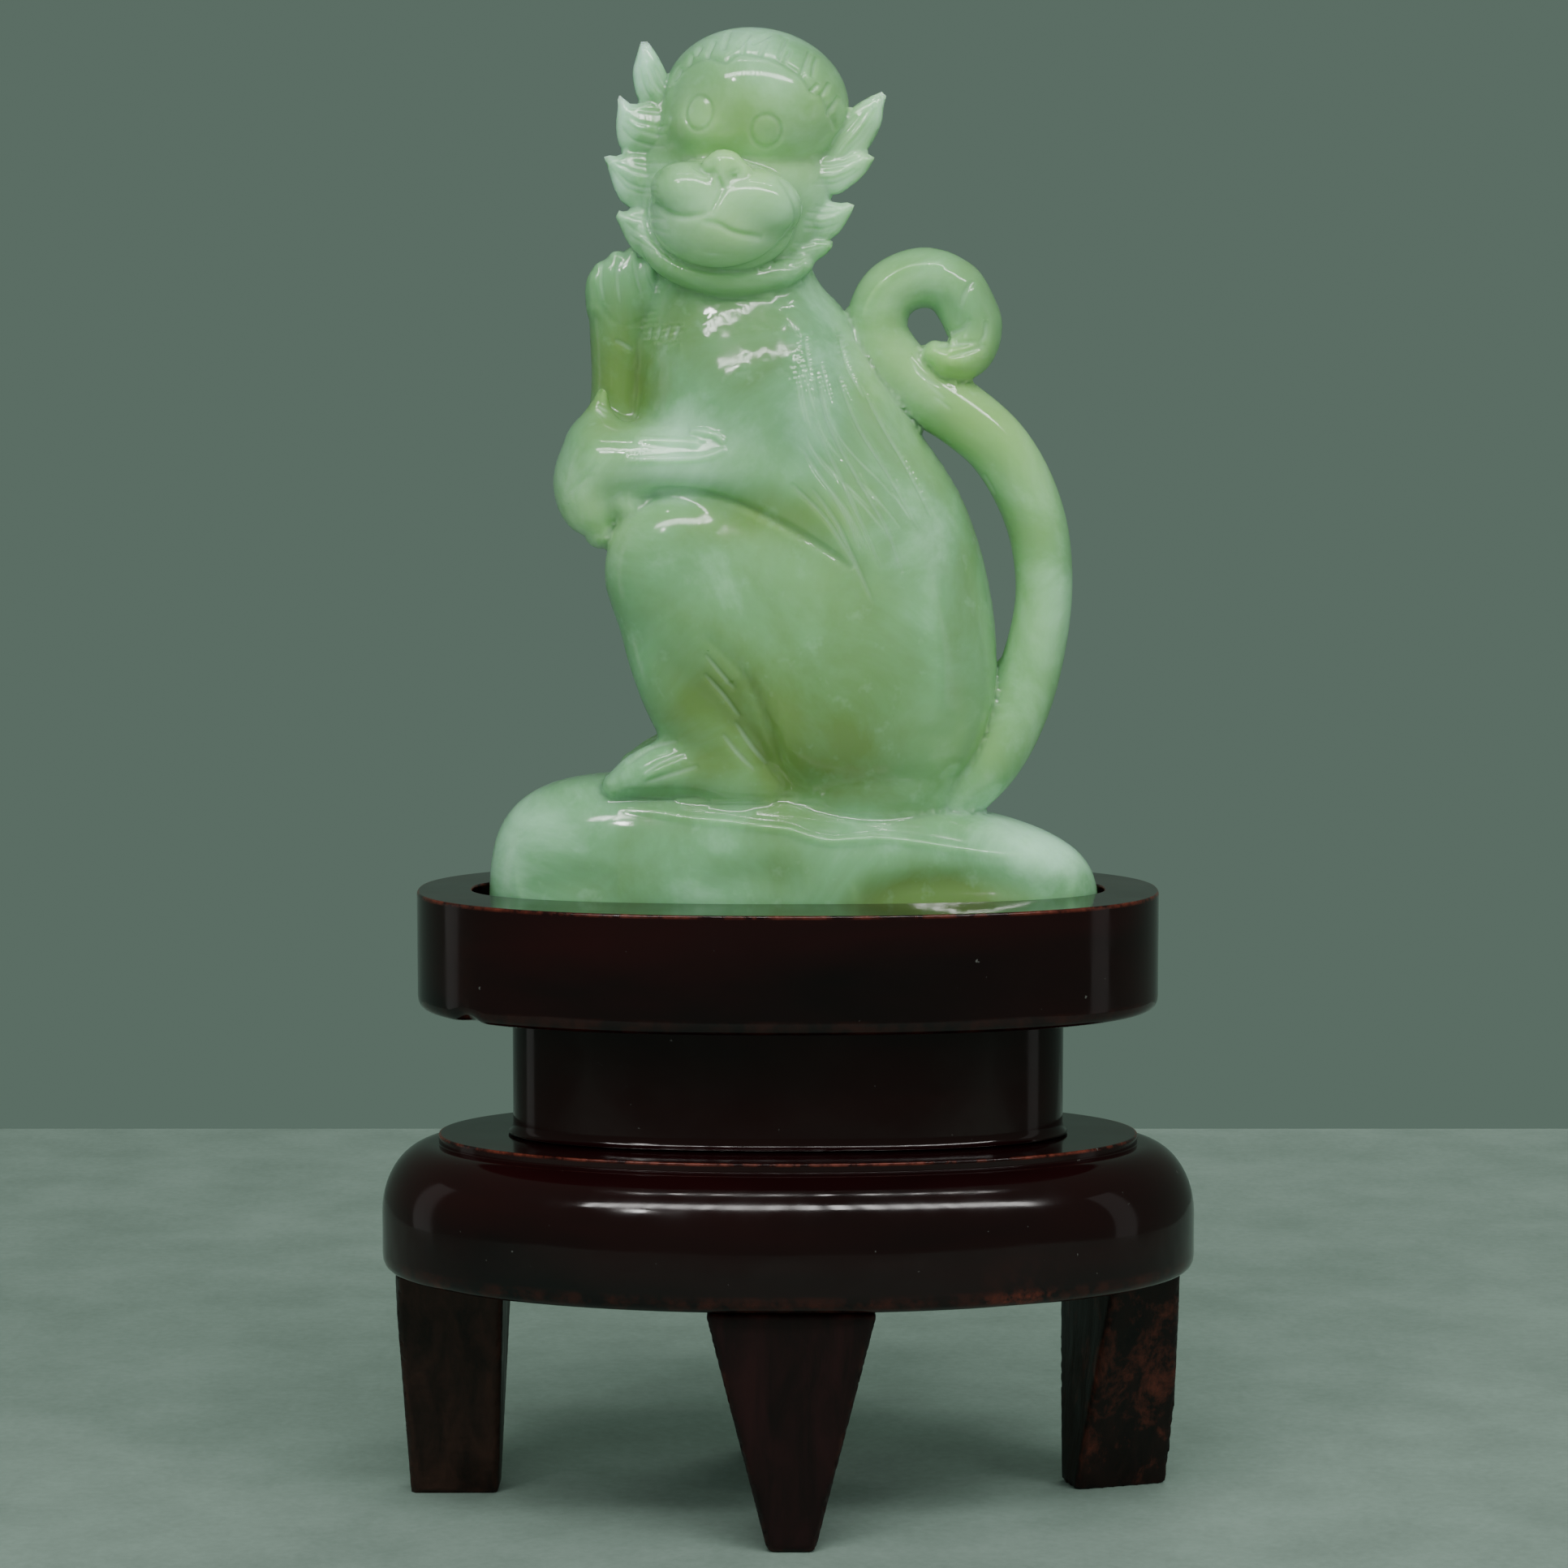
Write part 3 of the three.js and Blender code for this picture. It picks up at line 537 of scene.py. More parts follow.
def hairBand():  # short strokes combed along the ridge from shoulder to back
    lines = []
    pick = np.random.default_rng(carving["seed"] + 1)
    path = smoothPath([[x, z, 0] for x, z in ridge[:6]], 8)[:, :2]
    way = np.gradient(path, axis=0)
    across = np.stack([-way[:, 1], way[:, 0]], 1) / np.linalg.norm(way, axis=1)[:, None]
    for _ in range(carving["hairs"]):
        first, aside = pick.integers(1, 27), pick.uniform(-1.7, 3.0)
        last = min(first + pick.integers(4, 9), len(path) - 1)
        lean = np.linspace(0, pick.uniform(-0.5, 0.5), last - first)
        lines.append(path[first:last] + across[first:last] * (aside + lean)[:, None])
    return lines


def oval(x, z, halfX, halfZ, steps=28):
    turn = np.linspace(0, 2 * math.pi, steps)
    return np.stack([x + halfX * np.cos(turn), z + halfZ * np.sin(turn)], 1)


# name, half width, depth (below zero stands proud), sides, lines
engraving = [
    ("leafLines", 0.24, 0.15, "both", leafLines()),
    ("hairBand", 0.2, 0.1, "both", hairBand()),
    ("backLocks", 0.3, 0.26, "both", [
        [[3.7, 59.6], [5.3, 52.6], [9.1, 45], [13, 38.4], [15.4, 32.4]], [[6.6, 59], [9.4, 52], [13.8, 45],
        [17.6, 38]], [[3.1, 53.1], [6.2, 46.6], [9.4, 40.1], [12.6, 33]], [[1.5, 49.9], [4.2, 45.5],
        [8, 40.6], [10.8, 35.2]], [[9.6, 58], [12.4, 52.6], [16.2, 46.1], [19.5, 39.5]], [[6.9, 64.5],
        [8, 60.1], [10.2, 55.8]], [[3.1, 43.9], [6.4, 39.4], [9.1, 33.6], [11.3, 28.7]], [[0.4, 44.5],
        [4.8, 40.1], [8, 35.2], [9.9, 31.4]], [[5.3, 43.9], [8, 39.6], [9.9, 35.2]]]),
    ("shinLocks", 0.34, 0.22, "both", [
        [[-11.2, 21.6], [-9.4, 19.4], [-7.2, 16.7]], [[-11.3, 18.9], [-8.9, 16.2], [-6.5, 12.9]],
        [[-7.2, 12.3], [-5, 9], [-2.9, 6.3]], [[-8.9, 10.7], [-6.7, 7.9], [-4.5, 5.7]]]),
    ("handLine", 0.4, 0.14, "front", [[[-25.4, 47], [-27.8, 44.8], [-29, 41.8]]]),
    ("toes", 0.34, 0.2, "both", [
        [[-13.8, 7.9], [-17.1, 6.8], [-19.8, 5]], [[-14.9, 9.6], [-18.7, 8.5], [-22, 6.3]], [[-12.1, 6.3],
        [-16.5, 4.9], [-19.3, 4]]]),
    ("mouth", 0.42, 0.36, "front", [
        [[-17.9, 81.8], [-16, 80.3], [-13.6, 79.8], [-10.7, 80.3]], [[-11.4, 79.2], [-9.3, 78.8],
        [-7.1, 77.7], [-3.4, 77]]]),
    ("lipSplit", 0.42, 0.36, "front", [[[-9.3, 85], [-8.7, 83.5], [-9.6, 81.6], [-10.5, 80.1]]]),
    ("noseCreases", 0.3, 0.2, "front", [
        [[-12.8, 86.6], [-11.7, 85.8], [-10.9, 85.2]], [[-9.8, 85.8], [-9.2, 84.8], [-8.7, 83.5]]]),
    ("eyes", 0.3, 0.2, "front", [oval(-11.9, 93.6, 1.8, 2.3), oval(-2.9, 91.2, 2, 2.1)]),
    ("muzzleRim", 0.34, 0.3, "front", [
        [[-1.4, 85.1], [0.1, 83], [1.1, 80.4], [0.7, 78.5], [-1, 76.3], [-3.9, 74], [-7.7, 72.8],
        [-11.2, 72.8], [-14.5, 73.8], [-16.9, 75.5], [-18.6, 77.6], [-19.2, 80.4], [-18.6, 83.6],
         [-16.9, 86]]]),
    ("hairStrokes", 0.28, 0.36, "both", [
        [[-7.9, 104.9], [-8.6, 102]], [[-5.7, 103.3], [-6.2, 101.5]], [[-2.7, 103.5], [-3.8, 101.2]],
        [[-0.2, 103.9], [-0.8, 102.4], [-1.3, 100.8]], [[0.3, 102.1], [-0.6, 100.4]], [[2.9, 102],
        [1.8, 98.6]], [[3.8, 101.3], [3.2, 98.3]], [[4.1, 97.6], [3.1, 96.4]], [[5.6, 97.8], [4.5, 95.9]],
        [[6.9, 96.1], [6, 94.6], [5.2, 93.3]], [[-9.8, 103.5], [-11, 100.9]], [[-11.6, 102.8],
        [-12.5, 101.3]], [[-12.8, 101.7], [-13.6, 100]], [[-14.4, 100], [-15.4, 98.1]], [[-5, 104.5],
        [-6.8, 102.2]], [[-2.3, 104.3], [-4.9, 102.8]]]),
    ("hairline", 0.42, 0.3, "front", [
        [[-15.7, 97.9], [-13.6, 100], [-11, 101.1], [-8.5, 100.4], [-6.8, 101.5], [-3.8, 101.3],
        [-1.2, 100.5], [1.8, 98.5], [3.2, 96.5], [4.6, 95.8], [5.7, 93.6], [6.4, 91.5]]]),
    ("chestTicks", 0.3, 0.2, "front", [
        [[-18.6, 65.3], [-19, 63.4]], [[-17.3, 65.5], [-17.9, 63.4]], [[-16, 65.5], [-16.7, 63.4]],
        [[-14.7, 65.5], [-15.4, 63.6]]]),
    ("wristLine", 0.35, 0.25, "front", [[[-23.6, 63.4], [-22.4, 62.9], [-21.2, 62.1]]]),
    ("fingerGaps", 0.26, 0.18, "both", [
        [[-25.2, 74.3], [-25.4, 71.6], [-25, 68.6]], [[-23, 75.2], [-23.2, 72.1], [-22.8, 68.3]],
        [[-21, 75.2], [-20.6, 72.1], [-19.9, 69.7]], [[-19.2, 74.5], [-18.8, 72.1], [-17.9, 69.9]]]),
    ("thumbLines", 0.28, 0.18, "front", [[[-25.8, 54.7], [-24.4, 53.8]], [[-26, 54.1], [-24.6, 53.1]]]),
    ("armRidges", 0.45, -0.4, "front", [
        [[-20.5, 50.3], [-16.5, 50], [-11.9, 49.8]], [[-13.2, 51.4], [-10, 50.9], [-8.5, 49.8]], [[-22, 47.5],
        [-15.4, 47.6], [-11.1, 47.9], [-8.3, 49]]]),
    ("tailRidge", 0.5, -0.32, "both", [
        [[10, 65.8], [10.9, 68.6], [13, 71.4], [16.1, 73.2], [19.6, 73.7], [21.3, 73.6]]]),
    ("tailCuts", 0.36, 0.3, "both", [
        [[25.1, 71.5], [24, 69.7], [23.4, 67.9]], [[19.9, 62.6], [22.4, 62.9], [25.7, 63.2]], [[21.3, 64.2],
        [23.5, 65], [24.7, 66.4]], [[21.6, 61.2], [24.6, 62], [26.8, 62.8]], [[26.9, 66.1], [26.7, 64.2],
        [25.9, 62.9]]]),
    ("legCrease", 0.8, 0.4, "both", [
        [[-11.3, 24.3], [-7.2, 20.5], [-4.5, 16.6], [-2.3, 11.1], [-1, 6.7], [2.1, 2.3]]]),
    ("legHollow", 1.6, 0.3, "both", [[[-7.6, 18], [-4.9, 14], [-3, 9.5], [-2, 6.4]]]),
    ("thighCrease", 0.55, 0.55, "both", [
        [[-18.6, 43.1], [-16.4, 43.4], [-12.1, 43.1], [-6.6, 41.6], [-1.2, 39.1], [4.2, 36.1], [8.6, 33.1]]]),
    ("shoulderRidge", 2.2, -0.5, "both", [ridge]),
    ("rockCrest", 0.5, -0.42, "front", [
        [[-23.1, 0.4], [-18.7, 0], [-13.3, -0.8], [-8, -1.3], [-4.5, -1.8], [0, -2.3], [3.2, -3.3], [6, -3.8],
        [8.6, -3.6], [14.1, -3.6], [25.1, -5.3], [31.7, -6.2]]]),
    ("rockScoop", 2.6, 1.3, "front", [[[9.7, -12], [16.3, -10], [25.1, -9.3], [32.8, -10.4], [38.3, -12]]]),
    ("rockDip", 2.4, 0.6, "front", [
        [[-36.3, -11.3], [-29.7, -9.6], [-23.1, -9.8]], [[-12, -10], [-4, -8.5], [2, -9.5]]]),
    ("palmLine", 0.4, 0.1, "front", [
        [[-26.7, 71.5], [-25.6, 68.6], [-24.1, 66.4], [-22.1, 65.3]], [[-22.1, 65.3], [-19.9, 66.1],
        [-18.6, 67.9]]]),
    ("palmEdge", 0.35, 0.12, "front", [[[-30, 41.8], [-29.4, 43.2], [-27.9, 44.6], [-25.9, 45.6]]]),
    ("footRidge", 0.5, -0.3, "front", [[[-19.7, 4.9], [-16.8, 6], [-13.8, 7.4]]]),
    ("tailStreaks", 0.3, 0.12, "both", [
        [[16.4, 61.2], [18, 58.8], [20.8, 57]], [[18.6, 57.9], [21.3, 55.5]], [[19.7, 55.9], [22.1, 54]],
        [[26.6, 45.3], [28.3, 42.3]]]),
]


# along, height, reach along, reach up, how pale (below zero is olive), how warm; the olive spots are painted
# shade in the hollows, creases and under the collar and arm, the pale ones painted glow and light on the
# muzzle, arms, hands and leaf tips, laid over the jade's own patchy tone
toneShadeAndGlowSpots = [
    (8.6, 6.7, 15, 8, -0.8, 0.1), (-9, 12, 8, 11, -0.7, 0.1), (6, 28, 22, 20, -0.12, 0.25),
    (21, -12, 14, 4.5, -1.3, 0.1), (-1, 10, 3, 9, -0.6, 0.2), (-4, 40, 14, 3, -0.4, 0.2),
    (3, 22, 14, 9, -0.2, 0), (-22.9, 58, 6, 10, -1.0, 0.25), (-8, 66, 14, 5, -0.4, 0.1),
    (-8, 76, 12, 4, 0, 0.2), (36, -4.3, 9, 7, 1.1, 0), (-36, -1, 8, 6, 0.4, 0), (3.1, 58, 4, 12, 0.45, -0.2),
    (17, 36, 4, 14, 0.2, 0), (19.9, 18, 2, 12, 0.2, 0), (-18, 48, 12, 6, 0.8, 0.1),
    (-27, 40, 6, 6, 0.85, 0.7), (-9, 79, 11, 7, 0.85, 0.55), (-4, 93, 12, 7, 0.2, 0.9),
    (-2, 87, 9, 4, 0.5, 0.5), (-14, 12, 5, 10, -0.4, 0), (-7, 104, 12, 3, 0.6, 0), (13, 95, 3, 4, 1.1, 0.1),
    (-20, 101, 3, 4, 1.1, -0.2), (-23, 94, 3, 4, 0.9, 0), (-24, 85, 3, 5, 0.8, 0), (10, 86, 4, 4, 0.7, 0.2),
    (8, 80, 4, 3, 0.6, 0.2), (16, 72, 12, 4, 0.2, 0.3), (-8, -8, 14, 3, -0.3, 0), (34, 34, 5, 22, 0.2, 0.65),
    (28, 52, 12, 8, 0.1, 0.75), (22, 60, 7, 5, 0.3, 0.6), (13, 62, 5, 8, 0, 0.5), (26, 8, 8, 8, -0.1, 0.5),
]


# sums the spots into painted shade and glow on the jade's own tone, with the yellowing kept apart
def paintToneShadeAndGlow(points):
    pale, warm = np.zeros(len(points)), np.zeros(len(points))
    for x, z, reachX, reachZ, paler, warmer in toneShadeAndGlowSpots:
        near = np.exp(-((points[:, 0] - x) / reachX) ** 2 - ((points[:, 2] - z) / reachZ) ** 2)
        pale += paler * near
        warm += warmer * near
    return np.clip(pale, -1, 1.2), np.clip(warm, 0, 1)


def lineAmount(points, line, half):  # 1 on the line, fading out to the sides and at its ends
    line = np.array(line, float)
    if 2 < len(line) < 20:  # longer ones are smooth already
        line = smoothPath(line, 6)
    closed = np.allclose(line[0], line[-1])
    near = np.flatnonzero(np.all((points > line.min(0) - 3 * half) & (points < line.max(0) + 3 * half),
                                 axis=1))
    lengths = np.linalg.norm(np.diff(line, axis=0), axis=1)
    starts = np.concatenate([[0], np.cumsum(lengths)])
    best, along = np.full(len(near), 1e3), np.zeros(len(near))
    for a, b, length, start in zip(line, line[1:], lengths, starts):
        share = np.clip(((points[near] - a) @ (b - a)) / max(length ** 2, 1e-9), 0, 1)
        away = np.linalg.norm(points[near] - a - share[:, None] * (b - a), axis=1)
        closer = away < best
        best[closer], along[closer] = away[closer], (start + share * length)[closer]
    fade = 1.0 if closed else np.clip(np.sin(np.pi * along / starts[-1]), 0, 1) ** 0.35
    return near, np.exp(-(best / half) ** 2) * fade


def engraveDepth(points, normals):
    depth, fine = np.zeros(len(points)), np.zeros(len(points))
    flat, least = points[:, [0, 2]], carving["leastFacing"]
    for name, half, cut, sides, lines in engraving:
        turned = -normals[:, 1] if sides == "front" else np.abs(normals[:, 1])
        amount = np.zeros(len(points))
        for line in lines:
            near, value = lineAmount(flat, line, half)
            amount[near] = np.maximum(amount[near], value)
        amount *= np.clip((turned - least) / carving["facingFade"], 0, 1)
        depth += cut * amount
        if name in scratched:
            fine = np.maximum(fine, amount)
    return depth, fine


# splits the faces that lie within reach of an engraved line
def refine(work, points, reach, widest, frontOnly):
    work.verts.ensure_lookup_table()
    flat = points[:, [0, 2]]
    wanted = np.zeros(len(points), bool)
    for _, half, _, sides, lines in engraving:
        if half > widest:
            continue
        for line in lines:
            near, value = lineAmount(flat, line, half)
            close = value > math.exp(-(reach / half) ** 2) * 0.5
            side = points[near, 1] < 2 if sides == "front" or frontOnly else np.full(len(near), True)
            wanted[near[close & side]] = True
    edges = [e for f in work.faces if any(wanted[v.index] for v in f.verts) for e in f.edges]
    bmesh.ops.subdivide_edges(work, edges=list(set(edges)), cuts=1, use_grid_fill=True)
    work.verts.index_update()


def dropCrumbs(work):  # leaves the largest connected piece only
    islands, seen = [], set()
    for first in work.verts:
        if first in seen:
            continue
        seen.add(first)
        island, waiting = [], [first]
        while waiting:
            v = waiting.pop()
            island.append(v)
            for e in v.link_edges:
                other = e.other_vert(v)
                if other not in seen:
                    seen.add(other)
                    waiting.append(other)
        islands.append(island)
    islands.sort(key=len)
    for island in islands[:-1]:
        bmesh.ops.delete(work, geom=island, context="VERTS")
    work.verts.index_update()


# each point goes halfway to the middle of its neighbours, but none that sits on a sharp turn
def relaxed(points, quads, calm):
    total, count = np.zeros_like(points), np.zeros(len(points))
    for one, other in ((0, 1), (1, 2), (2, 3), (3, 0), (1, 0), (2, 1), (3, 2), (0, 3)):
        np.add.at(total, quads[:, one], points[quads[:, other]])
        np.add.at(count, quads[:, one], 1)
    shift = total / count[:, None] - points
    shift[np.linalg.norm(shift, axis=1) > calm] = 0
    return points + 0.5 * shift


def meshPoints(work):
    return np.array([v.co for v in work.verts])


def makeMonkey(material):
    forms = carvingForms()
    low = np.array([*carving["lowCorner"], rock["foot"] - carving["rockTop"] - carving["underside"]])
    high = np.array(carving["highCorner"])
    cell = carving["cell"]
    steps = np.ceil((high - low) / cell).astype(int)
    grid = np.stack(np.meshgrid(*[low[a] + cell * np.arange(steps[a]) for a in range(3)], indexing="ij"),
                    -1).reshape(-1, 3)
    value = fieldAt(grid, forms).reshape(steps)
    points, quads = skin(value, low, cell)
    points = settle(points, forms, 2)
    for _ in range(carving["relaxing"]):
        points = settle(relaxed(points, quads, carving["calm"] * cell), forms, 1)
    mesh = bpy.data.meshes.new("jadeMonkey")
    mesh.from_pydata(points.tolist(), [], quads.tolist())
    work = bmesh.new()
    work.from_mesh(mesh)
    dropCrumbs(work)
    print("skin has", len(work.faces), "faces")
    for reach, widest, frontOnly in carving["finePasses"]:
        refine(work, meshPoints(work), reach, widest, frontOnly)
        points = settle(meshPoints(work), forms, 1)
        for v, p in zip(work.verts, points):
            v.co = p
    bmesh.ops.triangulate(work, faces=work.faces[:])
    points = settle(meshPoints(work), forms, 1)
    slope = fieldSlope(points, forms)
    normals = slope / np.maximum(np.linalg.norm(slope, axis=1), 1e-6)[:, None]
    depth, fine = engraveDepth(points, normals)
    # painted shade and glow from the spots go onto the skin as point values
    pale, warm = paintToneShadeAndGlow(points)
    points = points - normals * depth[:, None]
    points[:, 2] = np.maximum(points[:, 2] + carving["rockTop"], rock["foot"])
    for v, p in zip(work.verts, points * mm):
        v.co = p
    for f in work.faces:
        f.smooth = True
    bmesh.ops.recalc_face_normals(work, faces=work.faces[:])
    work.to_mesh(mesh)
    work.free()
    for key, values in (("ground", fine), ("toneShadeAndGlow", pale), ("warm", warm)):
        mesh.attributes.new(key, "FLOAT", "POINT").data.foreach_set("value", values.astype(np.float32))
    mesh.materials.append(material)
    monkey = bpy.data.objects.new("jadeMonkey", mesh)
    bpy.context.scene.collection.objects.link(monkey)
    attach(monkey, "root")
    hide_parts("jade_monkey")
    print("monkey has", len(mesh.polygons), "triangles")


jadeLook = {
    "deep": (0.115, 0.205, 0.062), "green": (0.175, 0.385, 0.20), "pale": (0.44, 0.77, 0.56),
    "yellow": (0.32, 0.55, 0.15), "ground": (0.70, 0.95, 0.74), "cloudScale": 55.0, "driftScale": 30.0,
    "speckScale": 260.0, "toneShadeAndGlowShare": 0.3, "cloudShare": 0.75, "gloss": 0.085, "glossScale": 220.0,
    "grainScale": 420.0, "glow": 1.0, "glowDepth": 0.0038, "glowColour": (0.8, 1.0, 0.6),
}


def makeJade():
    material, tree = newMaterial("nephrite")
    place = addNode(tree, "ShaderNodeTexCoord").outputs["Object"]
    clouds = noise(tree, place, jadeLook["cloudScale"], 6, 0.62, 0.5)
    # the clouds are the jade's own tone; the painted shade and glow shift them darker or paler
    toneShadeAndGlow = painted(tree, "toneShadeAndGlow")
    shade = maths(tree, "MULTIPLY_ADD", toneShadeAndGlow, jadeLook["toneShadeAndGlowShare"],
                  maths(tree, "MULTIPLY_ADD", clouds, jadeLook["cloudShare"], 0.5 - jadeLook["cloudShare"] / 2))
    colour = ramp(tree, shade, [(0.22, jadeLook["deep"]), (0.5, jadeLook["green"]), (0.8, jadeLook["pale"])])
    drift = noise(tree, placed(tree, place, rotation=(0, 0.5, 0), scale=(1, 1, 0.6)), jadeLook["driftScale"],
                  3, 0.5, 0.6)
    warm = painted(tree, "warm")
    yellowing = maths(tree, "MULTIPLY", warm, ramp(tree, drift, [(0.3, grey(0.35)), (0.65, grey(1))]))
    colour = blendColour(tree, yellowing, colour, jadeLook["yellow"])
    specks = ramp(tree, noise(tree, place, jadeLook["speckScale"], 3, 0.7),
                  [(0.6, grey(0)), (0.76, grey(0.14))])
    colour = blendColour(tree, specks, colour, jadeLook["pale"])
    cut = painted(tree, "ground")
    ground = ramp(tree, cut, [(0.25, grey(0)), (1, grey(0.22))])
    colour = blendColour(tree, ground, colour, jadeLook["ground"])
    low, high = grey(jadeLook["gloss"]), grey(jadeLook["gloss"] + 0.1)
    roughness = blendColour(tree, ground,
                            ramp(tree, noise(tree, place, jadeLook["glossScale"], 4, 0.6),
                                 [(0.4, low), (0.75, high)]), grey(0.2))
    bump = addNode(tree, "ShaderNodeBump",
                   {"Strength": 0.02, "Distance": 0.0002,
                    "Height": noise(tree, place, jadeLook["grainScale"], 3, 0.5)})
    shader = addNode(tree, "ShaderNodeBsdfPrincipled", {
        "Base Color": colour, "Roughness": roughness, "IOR": 1.61, "Normal": bump.outputs[0],
        "Subsurface Weight": jadeLook["glow"], "Subsurface Radius": jadeLook["glowColour"],
        "Subsurface Scale": jadeLook["glowDepth"],
    })
    addNode(tree, "ShaderNodeOutputMaterial", {"Surface": shader.outputs[0]})
    return material


makeMonkey(makeJade())


# the lacquered boards of the stand

# points: inset at the ends, inset at the sides, height, corner radius, worn share
def cornered(points, steps=5):
    out = []
    for i, (endInset, sideInset, height, radius, worn) in enumerate(points):
        here = np.array([endInset, sideInset, height], float)
        if not radius or i in (0, len(points) - 1):
            out.append((*here, worn))
            continue
        before, after = np.array(points[i - 1][:3], float), np.array(points[i + 1][:3], float)
        back, on = before - here, after - here
        backLength, onLength = np.linalg.norm(back[[1, 2]]), np.linalg.norm(on[[1, 2]])
        start, end = here + back / backLength * radius, here + on / onLength * radius
        support = 0.25 * radius
        out.append((*(start + back / backLength * support), 0.0))
        for t in np.linspace(0, 1, steps + 1):
            curve = (1 - t) ** 2 * start + 2 * t * (1 - t) * here + t ** 2 * end
            out.append((*curve, worn * math.sin(math.pi * (0.15 + 0.7 * t))))
        out.append((*(end + on / onLength * support), 0.0))
    return out


def profileMesh(name, points):
    mesh = bpy.data.meshes.new(name)
    mesh.from_pydata([p[:3] for p in points], [(i, i + 1) for i in range(len(points) - 1)], [])
    worn = mesh.attributes.new("worn", "FLOAT", "POINT")
    worn.data.foreach_set("value", [p[3] for p in points])
    return mesh


def boardTree():
    # sweeps a profile (inset at the ends, inset at the sides, height) round an oblong outline
    tree = bpy.data.node_groups.new("boardTurning", "GeometryNodeTree")
    face = tree.interface
    face.new_socket("Geometry", in_out="INPUT", socket_type="NodeSocketGeometry")
    for name, kind in (("Half Length", "NodeSocketFloat"), ("Half Depth", "NodeSocketFloat"),
                       ("Roundness", "NodeSocketFloat"), ("Profile Points", "NodeSocketInt"),
                       ("Around", "NodeSocketInt"), ("Waver", "NodeSocketFloat"), ("Seed", "NodeSocketFloat"),
                       ("Finish", "NodeSocketMaterial")):
        face.new_socket(name, in_out="INPUT", socket_type=kind)
    face.new_socket("Geometry", in_out="OUTPUT", socket_type="NodeSocketGeometry")
    given = addNode(tree, "NodeGroupInput").outputs

    def calc(operation, first, second=0.0):
        return addNode(tree, "ShaderNodeMath", {0: first, 1: second}, operation=operation).outputs[0]

    turns = calc("ADD", given["Around"], 1)
    grid = addNode(tree, "GeometryNodeMeshGrid",
                   {"Size X": 1.0, "Size Y": 1.0, "Vertices X": given["Profile Points"], "Vertices Y": turns})
    at = addNode(tree, "ShaderNodeSeparateXYZ",
                 {0: addNode(tree, "GeometryNodeInputPosition").outputs[0]}).outputs
    lastPoint = calc("SUBTRACT", given["Profile Points"], 1)
    index = calc("ROUND", calc("MULTIPLY", calc("ADD", at[0], 0.5), lastPoint))
    turn = calc("MULTIPLY", calc("ADD", at[1], 0.5), 2 * math.pi)
    ring = addNode(tree, "GeometryNodeSampleIndex", {"Geometry": given["Geometry"], "Index": index},
                   data_type="FLOAT_VECTOR", domain="POINT")
    tree.links.new(addNode(tree, "GeometryNodeInputPosition").outputs[0], ring.inputs["Value"])
    edge = addNode(tree, "GeometryNodeSampleIndex", {"Geometry": given["Geometry"], "Index": index},
                   data_type="FLOAT", domain="POINT")
    tree.links.new(addNode(tree, "GeometryNodeInputNamedAttribute", {"Name": "worn"},
                           data_type="FLOAT").outputs[0], edge.inputs["Value"])
    inset = addNode(tree, "ShaderNodeSeparateXYZ", {0: ring.outputs[0]}).outputs
    power = calc("DIVIDE", 2.0, given["Roundness"])
    sides = []
    for wave, half, drawn in (("COSINE", "Half Length", inset[0]), ("SINE", "Half Depth", inset[1])):
        value = calc(wave, turn)
        bent = calc("MULTIPLY", calc("SIGN", value), calc("POWER", calc("ABSOLUTE", value), power))
        sides.append(calc("MULTIPLY", bent, calc("SUBTRACT", given[half], drawn)))
    place = addNode(tree, "ShaderNodeCombineXYZ", {0: sides[0], 1: sides[1], 2: inset[2]}).outputs[0]
    worn = addNode(tree, "GeometryNodeStoreNamedAttribute",
                   {"Geometry": grid.outputs["Mesh"], "Name": "worn", "Value": edge.outputs[0]},
                   data_type="FLOAT", domain="POINT")
    swept = addNode(tree, "GeometryNodeSetPosition", {"Geometry": worn.outputs[0], "Position": place})
    closed = addNode(tree, "GeometryNodeMergeByDistance", {"Geometry": swept.outputs[0], "Distance": 1e-6})
    hand = addNode(tree, "ShaderNodeTexNoise", {"W": given["Seed"], "Scale": 30.0, "Detail": 1.0},
                   noise_dimensions="4D").outputs["Fac"]
    push = calc("MULTIPLY", calc("SUBTRACT", hand, 0.5), given["Waver"])
    shove = addNode(tree, "ShaderNodeVectorMath", {0: addNode(tree, "GeometryNodeInputNormal").outputs[0]},
                    operation="SCALE")
    tree.links.new(push, shove.inputs["Scale"])
    level = addNode(tree, "ShaderNodeVectorMath", {0: shove.outputs[0], 1: (1, 1, 0)},
                    operation="MULTIPLY").outputs[0]
    carved = addNode(tree, "GeometryNodeSetPosition", {"Geometry": closed.outputs[0], "Offset": level})
    smooth = addNode(tree, "GeometryNodeSetShadeSmooth",
                     {"Geometry": carved.outputs[0], "Shade Smooth": True})
    real = addNode(tree, "GeometryNodeRealizeInstances", {"Geometry": smooth.outputs[0]})
    coated = addNode(tree, "GeometryNodeSetMaterial",
                     {"Geometry": real.outputs[0], "Material": given["Finish"]})
    addNode(tree, "NodeGroupOutput", {0: coated.outputs[0]})
    return tree


